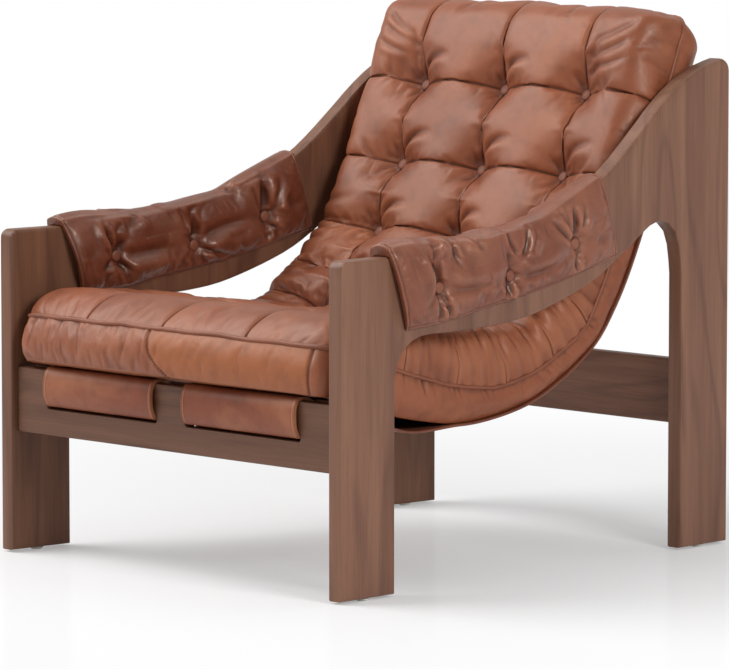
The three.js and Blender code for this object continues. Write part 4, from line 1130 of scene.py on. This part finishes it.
strap_hide = leather("leather_straps", (124, 62, 39), (60, 26, 16), (192, 128, 90))
for end_name, line in strap_lines.items():
    line_at = run_along(line)
    for side_name in ("left", "right"):
        node_name = f"sling_strap_{end_name}_{side_name}"
        low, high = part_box(node_name)
        strap, column, row, rise = sewn_cover(node_name + "_hide", strap_columns, strap_rows, 3)
        at = line_at[-1] * row / strap_rows
        y, z = np.interp(at, line_at, line[:, 0]), np.interp(at, line_at, line[:, 1])
        way_y = np.interp(at + 1 * MM, line_at, line[:, 0]) - np.interp(at - 1 * MM, line_at, line[:, 0])
        way_z = np.interp(at + 1 * MM, line_at, line[:, 1]) - np.interp(at - 1 * MM, line_at, line[:, 1])
        way = np.maximum(np.hypot(way_y, way_z), 1e-9)
        on_edge = (column == 0) | (column == strap_columns)
        inset = 1.5 * MM * (1 - np.sin(math.pi * rise)) * on_edge
        half = (high[0] - low[0]) / 2
        middle_lines = np.linspace(strap_edge_lines[-1], 2 * half - strap_edge_lines[-1], strap_columns - 21)
        lines = np.concatenate([strap_edge_lines, middle_lines[1:-1], 2 * half - strap_edge_lines[::-1]])
        inward = np.minimum(lines, 2 * half - lines)[column]
        x = low[0] + lines[column] - inset * np.sign(column - strap_columns / 2)
        x += slot_filling * np.clip(row / strap_rows * 3 - 1, 0, 1) * (2 * lines[column] / (2 * half) - 1)
        above = (rise - 0.5) * strap_thick
        shape = MM * lines_beside(inward, strap_relief)
        for _ in range(14):
            crease, width = chance.uniform(12 * MM, 2 * half - 12 * MM), chance.uniform(1.5, 5) * MM
            shape -= chance.uniform(0.1, 0.5) * MM * bell((lines[column] - crease) / width)
        above += shape * (rise > 0.999)
        set_points(strap, np.stack([x, y - way_z / way * above, z + way_y / way * above], axis=1))
        face_out(strap)
        # painted shade along the two rows of stitches, stored as seam; the ridges are stored as fold, which colours
        # them paler
        near_stitch = np.min([np.abs(inward - value) for value in strap_stitch_insets], axis=0)
        store(strap, fold=lines_beside(inward, strap_pale), seam=0.5 * bell(near_stitch / (0.5 * MM)))
        ops.object.shade_smooth()
        paint(strap, strap_hide)
        on_line = np.arange(24, strap_mouth)
        way_line = np.gradient(line, line_at, axis=0)
        way_line /= np.linalg.norm(way_line, axis=1)[:, None]
        upward = np.stack([0 * line_at, -way_line[:, 1], way_line[:, 0]], axis=1)[on_line]
        path = np.stack([0 * line_at, line[:, 0], line[:, 1]], axis=1)[on_line] + upward * (strap_thick / 2 - 0.1 * MM)
        for i, place_x in enumerate(
            [low[0] + v for v in strap_stitch_insets] + [high[0] - v for v in strap_stitch_insets]
        ):
            thread = stitches(f"{node_name}_stitches_{i + 1}", path + (place_x, 0, 0), upward)
            paint(thread, thread_brown)
            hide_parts(node_name)
            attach(thread, "root")
        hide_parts(node_name)
        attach(strap, "root")


# Arm pads
# A padded leather saddle over each arm, its two thicknesses of hide sewn together round the edge, and
# quilted down by three buttons on either side that draw the leather into folds.
post_height = 811 * MM
top_line_shares = [
    (0.246, 0), (0.4, 0.06), (0.5, 0.125), (0.6, 0.245), (0.68, 0.39), (0.76, 0.6), (0.81, 0.742),
    (0.86, 0.86), (0.91, 0.942), (0.955, 0.985),
]
pad_lower_edge_shares = [
    (0.153, 0.781), (0.25, 0.794), (0.35, 0.822), (0.417, 0.839), (0.527, 0.871), (0.617, 0.907),
    (0.692, 0.935),
]
pad_top_start, pad_top_end = 0.112 * board_depth, 0.65 * board_depth
pad_length, pad_height = 500 * MM, 118 * MM
# buttons: share of the pad's length, share of its wall's height
pad_button_shares = [(0.178, 0.5), (0.5, 0.38), (0.816, 0.46)]
pad_inside = board_thick / 2 + slide_gap
pad_hem = 7 * MM
pad_wall = 13 * MM
pad_crown = 21 * MM
pad_button_floor = 5 * MM
pad_swell = 6 * MM
pad_fold_depth = 2 * MM
fold_gain, fold_widening = 1.6, 1.55
pad_flare, pad_flare_reach = 6 * MM, 26 * MM
skin_softening = 30
pad_edge_lines = (2 * MM, 4.2 * MM, 6.4 * MM, 9 * MM)
pad_columns, pad_rows = 84, 112
pad_dent_spread, pad_end_ease = 20 * MM, 45 * MM
arm_button_radius, arm_button_rise = 9.6 * MM, 3.6 * MM
top_line = spline_points(top_line_shares, board_depth, post_height - arm_height, 60)
lower_edge = spline_points(pad_lower_edge_shares, board_depth, arm_height, 60)
lower_run = run_along(lower_edge)
# half of the skin from the hem over the wall to the middle of the top: out from the arm, up, and above it
pad_skin = np.array([
    (0, 0, 0), (0.5, 0.06, 0), (0.9, 0.16, 0), (1, 0.3, 0), (0.92, 0.5, 0), (1, 0.64, 0), (0.96, 0.78, 0),
    (0.84, 0.9, 0.06), (0.64, 0.98, 0.28), (0.36, 1, 0.58), (-0.05, 1, 0.82), (-0.55, 1, 0.97), (-1.15, 1, 1.02),
])
# folds of the pad, for the sides of the arms that face in and out: start and end, each as shares of its
# length and of its wall's height, and then swing, width and depth in mm
pad_folds = {
    "inner": [
        (0.168, 0.6, 0.158, 1.03, 2, 4, 4), (0.185, 0.56, 0.25, 0.78, 3, 4.5, 3.5),
        (0.193, 0.49, 0.473, 0.42, 3, -7, 5), (0.527, 0.47, 0.802, 0.47, 13, -7, 5.5),
        (0.503, 0.49, 0.535, 0.82, 2, 4, 4), (0.522, 0.5, 0.552, 0.76, 2, 4, 3),
        (0.515, 0.33, 0.647, 0.02, 3, -3.4, 3.5), (0.81, 0.53, 0.853, 1.17, -4, 5, 5),
        (0.84, 0.52, 0.907, 0.93, -3, 5, 4.5), (0.825, 0.32, 0.868, 0.13, 1, 2.6, 2.2),
        (0.83, 0.28, 0.838, 0.07, 1, 2.6, 2), (0.82, 0.3, 0.8, 0.08, 1, 2.6, 1.8),
        (0.625, 0.38, 0.765, 0.45, -4, 6, 2.5), (0.17, 0.41, 0.228, 0.2, 3, 4, 3),
        (0.15, 0.42, 0.07, 0.27, -3, 5, 3), (0.305, 1.09, 0.26, 0.9, 2, 5, 2.5),
        (0.91, 0.66, 0.95, 0.36, -3, 7, 3), (0.708, 1.17, 0.728, 0.9, 2, 5, 3), (0.42, 0.9, 0.5, 0.97, 3, 8, 2.5),
        (0.36, 0.36, 0.45, 0.2, 3, 7, 2.4),
    ],
    "outer": [
        (0.118, 1.02, 0.132, 0.12, 4, 8, -5), (0.178, 0.58, 0.208, 1.2, 3, -3.4, 4),
        (0.28, 0.85, 0.292, 1.16, 2, -2.6, 3), (0.247, 1, 0.236, 1.24, 2, 2.6, 2),
        (0.19, 0.42, 0.186, 0, 2, 3, 3), (0.166, 0.42, 0.138, 0, 3, 3.4, 3), (0.205, 0.47, 0.47, 0.35, -5, -6, 5),
        (0.255, 0.76, 0.36, 1.12, 6, 9, 3.4), (0.545, 0.66, 0.525, 1.12, 2, 2.8, 3.4),
        (0.555, 0.62, 0.632, 1.1, -6, 3, 3.6), (0.59, 0.62, 0.662, 1, -3, 2.8, 2.6),
        (0.497, 0.44, 0.518, 0.78, 2, 2.8, 3), (0.49, 0.32, 0.468, 0, 2, 3, 3.4),
        (0.482, 0.3, 0.425, 0, 4, 3.6, 3), (0.525, 0.36, 0.79, 0.44, -13, -6, 5),
        (0.395, 0.86, 0.398, 1.2, 2, 5, 2.4), (0.808, 0.54, 0.78, 1.08, 2, 2.8, 3.4),
        (0.814, 0.56, 0.806, 1.06, 2, 2.6, 3), (0.822, 0.54, 0.842, 1, -2, 2.8, 3.4),
        (0.832, 0.52, 0.886, 0.96, -3, 3, 3), (0.8, 0.5, 0.735, 1, 5, 3, 3),
        (0.808, 0.36, 0.788, 0.06, 2, 2.8, 3), (0.822, 0.36, 0.826, 0.1, -2, 2.6, 2.6),
        (0.335, 0.3, 0.36, 0.06, 3, 6, 2), (0.65, 0.26, 0.68, 0.04, 3, 6, 2.2), (0.9, 0.42, 0.95, 0.2, 3, 6, 2),
    ],
}
pad_seam_inset, pad_seam_depth, pad_seam_width = 5.3 * MM, 1.3 * MM, 1.3 * MM
# how full the top of each pad is along it: it sinks over the middle button
pad_crown_shares = {
    1: [
        (0, 1.2), (0.075, 1.45), (0.22, 1.36), (0.31, 1.14), (0.39, 0.88), (0.457, 1.08), (0.5, 1.1), (0.575, 0.66),
        (0.64, 0.84), (0.71, 0.62), (0.777, 0.74), (0.84, 0.9), (0.92, 0.88), (1, 0.82),
    ],
    -1: [
        (0, 0.95), (0.136, 1.25), (0.25, 1.08), (0.36, 0.86), (0.45, 0.88), (0.525, 0.8), (0.585, 0.8), (0.64, 0.72),
        (0.7, 0.5), (0.754, 0.82), (0.805, 0.95), (0.856, 0.92), (0.907, 0.9), (0.96, 0.8), (1, 0.74),
    ],
}


def pad_place(share, level, above):
    """Y and Z of a point of the pad: how far along it, its share of the wall's height, and how far above the
    arm's top edge."""
    top_y = pad_top_start + (pad_top_end - pad_top_start) * share
    top_z = arm_height + np.interp(top_y, top_line[:, 0], top_line[:, 1]) + slide_gap
    low_y = np.interp(share * lower_run[-1], lower_run, lower_edge[:, 0])
    low_z = np.interp(share * lower_run[-1], lower_run, lower_edge[:, 1])
    rise_y, rise_z = top_y - low_y, top_z - low_z
    tall = np.hypot(rise_y, rise_z)
    return low_y + rise_y * level + rise_y / tall * above, low_z + rise_z * level + rise_z / tall * above


def beside_arm(side, out, along, up):
    """From the arm's own lengths to the chair's: out from the arm's middle, along it from the front."""
    slanted = out - board_thick / 2
    x = side * (front_width / 2 + slanted * math.cos(toe_in) - along * math.sin(toe_in))
    y = front_line + slanted * math.sin(toe_in) + along * math.cos(toe_in)
    return np.stack([x, y, up], axis=-1)


def arm_pad(side, name):
    edge = np.array([0, *pad_edge_lines]) / pad_length
    middle = np.linspace(edge[-1], 1 - edge[-1], pad_rows - 2 * len(pad_edge_lines) + 1)[1:-1]
    share_lines = np.concatenate([edge, middle, 1 - edge[::-1]])
    pad, column, row, rise = sewn_cover(name, pad_columns, pad_rows, 3)
    share = share_lines[row]
    turn = 1 - 2 * column / pad_columns
    far = np.sign(turn)
    skin_run = run_along(pad_skin * (pad_wall, pad_height, pad_crown))
    at = (1 - np.abs(turn)) * skin_run[-1]
    fine_run = np.linspace(0, skin_run[-1], 300)
    soft = np.hanning(2 * skin_softening + 1) / skin_softening
    wall_share, level, crown_share = (
        np.interp(at, fine_run, np.convolve(np.pad(
            np.interp(fine_run, skin_run, values), skin_softening, mode="reflect", reflect_type="odd"
        ), soft, mode="valid")) for values in pad_skin.T
    )
    crown_share = np.clip(crown_share, 0, 1.04)
    end = np.minimum(share, 1 - share) * pad_length
    thin = ease_round(end, pad_end_ease)
    wall_thin, crown_thin = 0.42 + 0.58 * thin, 0.72 + 0.28 * thin
    flare = pad_flare * np.exp(-share * pad_length / pad_flare_reach) * np.sin(math.pi * np.clip(level, 0, 1)) ** 0.6
    flare *= np.where(far < 0, 2.6 - 2 * np.abs(level - 0.5), 1)
    out_skin = pad_inside + flare + pad_hem * 0.5 + (pad_wall - pad_hem * 0.5) * wall_share * wall_thin
    over_top = wall_share < 0
    out_skin = np.where(over_top, pad_inside * (1 + wall_share / 1.15), out_skin)
    fullness = np.mean([
        read_shares(pad_crown_shares[side], share + off) for off in (-0.03, -0.015, 0, 0.015, 0.03)
    ], axis=0)
    above = pad_crown * crown_share * crown_thin * fullness
    dent = np.zeros(len(share))
    for button_share, button_level in pad_button_shares:
        away = np.hypot((share - button_share) * pad_length, (level - button_level) * pad_height)
        dent = np.maximum(dent, bell(away / pad_dent_spread))
    out_skin -= (out_skin - pad_inside - pad_button_floor) * dent * (crown_share < 0.2)
    y, z = pad_place(share, level, above)
    skin = beside_arm(side, far * out_skin, y, z)
    lining_out = np.where(over_top, pad_inside * (1 + wall_share / 1.15), pad_inside + flare)
    lining_y, lining_z = pad_place(share, level, 0.3 * MM)
    lining = beside_arm(side, far * lining_out, lining_y, lining_z)
    set_points(pad, lining + (skin - lining) * rise[:, None])
    face_out(pad)
    on_rim = (row == 0) | (row == pad_rows) | (column == 0) | (column == pad_columns)
    held = (rise < 0.999) | on_rim | (dent > 0.82) & (crown_share < 0.2)
    store(pad, along=share * pad_length, up=at, rise=rise, far=far)
    weigh(pad, "held", held.astype(float))
    calm = np.clip(1.6 - np.minimum(end, at) / (12 * MM), 0, 1)
    weigh(pad, "taut", np.maximum(np.clip(crown_share * 3, 0, 1), calm))
    inflate(pad, pressure=4, growth=0.07, cap=pad_swell, stiffness=15, bending=0.2)
    finer(pad)
    place = np.stack([stored(pad, "along"), stored(pad, "up")], axis=1)
    levels, runs = pad_skin[:8, 1], skin_run[:8]
    out = np.zeros(len(place))
    for face_name, chosen in (("inner", stored(pad, "far") < 0), ("outer", stored(pad, "far") > 0)):
        folds = []
        for *ends, swing, width, depth in pad_folds[face_name]:
            start, finish = (
                np.array([a * pad_length, np.interp(b, levels, runs) + max(0, b - 0.9) * pad_height])
                for a, b in (ends[:2], ends[2:])
            )
            folds.append((start, finish, swing * MM, fold_widening * (width * MM), fold_gain * (depth * MM)))
        out += folded(place, folds) * chosen
    from_end = np.minimum(place[:, 0], pad_length - place[:, 0])
    for distance in (from_end, place[:, 1]):
        out -= pad_seam_depth * bell((distance - pad_seam_inset) / pad_seam_width)
    out *= stored(pad, "rise") > 0.999
    # painted shade along the stitched seam and in a ring round each button, stored as seam
    gap = np.minimum(np.abs(from_end - pad_seam_inset), np.abs(place[:, 1] - pad_seam_inset))
    away = np.min([
        np.hypot(place[:, 0] - a * pad_length, place[:, 1] - np.interp(b, levels, runs)) for a, b in pad_button_shares
    ], axis=0) - arm_button_radius
    ring = 0.8 * bell(away / (2 * MM))
    # the left pad's hide is shifted darker as painted shade, for the shadow it lies in inside the chair
    store(pad, seam=np.maximum(0.5 * bell(gap / (0.8 * MM)), ring), tone=-0.5 if side < 0 else 0)
    set_points(pad, points_of(pad) + normals_of(pad) * out[:, None])
    mark_folds(pad, fold_passes, pad_fold_depth)
    return pad


pad_hide = leather("leather_arm_pads", (118, 62, 42), (46, 20, 13), (160, 102, 76), 0.6, 0.12)
for side, side_name in ((-1, "left"), (1, "right")):
    pad = arm_pad(side, f"arm_pad_{side_name}_leather")
    paint(pad, pad_hide)
    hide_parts(f"arm_pad_{side_name}")
    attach(pad, "root")
    spots, ups = points_of(pad), normals_of(pad)
    far_side, up_run, along_run, risen = (stored(pad, key) for key in ("far", "up", "along", "rise"))
    hem_line = np.unique(np.round(up_run[(up_run > 4 * MM) & (up_run < 6 * MM)], 5))[0]
    lines = [
        ("front", np.abs(along_run - pad_seam_inset) < 0.3 * MM, far_side * (1 - up_run)),
        ("rear", np.abs(pad_length - along_run - pad_seam_inset) < 0.3 * MM, far_side * (1 - up_run)),
        ("inner", (np.abs(up_run - hem_line) < 0.2 * MM) & (far_side < 0), along_run),
        ("outer", (np.abs(up_run - hem_line) < 0.2 * MM) & (far_side > 0), along_run),
    ]
    for line_name, chosen, order in lines:
        picked = np.nonzero(chosen & (risen > 0.999))[0]
        picked = picked[np.argsort(order[picked])]
        thread = stitches(f"arm_pad_{side_name}_stitches_{line_name}", spots[picked], ups[picked])
        paint(thread, thread_brown)
        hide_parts(f"arm_pad_{side_name}")
        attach(thread, "root")


# Arm buttons
# Flat buttons covered in the pads' leather, three on either side of each arm, drawn together by a twine.
arm_button_floor = 6.8 * MM
pattern_button = covered_button("arm_button", arm_button_radius, arm_button_rise)
arm_button_hide = leather("leather_arm_buttons", (122, 70, 51), (64, 32, 22), (152, 100, 76))
paint(pattern_button, arm_button_hide)
for side, side_name in ((-1, "left"), (1, "right")):
    for far, far_name in ((-1, "inner"), (1, "outer")):
        for (button_share, button_level), place_name in zip(pad_button_shares, ("front", "middle", "rear")):
            y, z = pad_place(button_share, button_level, 0)
            place = beside_arm(side, far * (pad_inside + arm_button_floor), y, z)
            further = beside_arm(side, far * (pad_inside + 2 * arm_button_floor), y, z)
            node_name = f"arm_button_{side_name}_{far_name}_{place_name}"
            button = a_copy(pattern_button, node_name + "_leather")
            stand(button, Vector(place), (0, 0, 1), Vector(further - place))
            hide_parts(node_name)
            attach(button, "root")
bpy.data.objects.remove(pattern_button)


# Hardware
# Zinc-plated steel brackets and keeper rods, turned beech dowels, and pale nylon glides under the legs. Their
# shapes come with the frame and each is given its material here.
steel = plain_grain("steel_zinc_plated", ((150, 150, 152), (196, 196, 200)), 90, (0.3, 0.5), 1, 0.05 * MM)
rod_steel = plain_grain("steel_drawn_rod", ((120, 120, 124), (180, 180, 184)), 260, (0.25, 0.4), 1, 0.03 * MM)
nylon = plain_grain("nylon_pale", ((206, 202, 192), (226, 223, 214)), 160, (0.4, 0.6), 0, 0.05 * MM)
beech = wood("wood_beech_dowel", (0, 0, 0), (196, 160, 118), (160, 120, 82), (214, 182, 142), lying)
for node_name, node in nodes.items():
    for ending, material in (("dowel", beech), ("bracket", steel), ("strap_rod", rod_steel), ("glide", nylon)):
        if ending in node_name:
            for slot in node.material_slots:
                slot.material = material
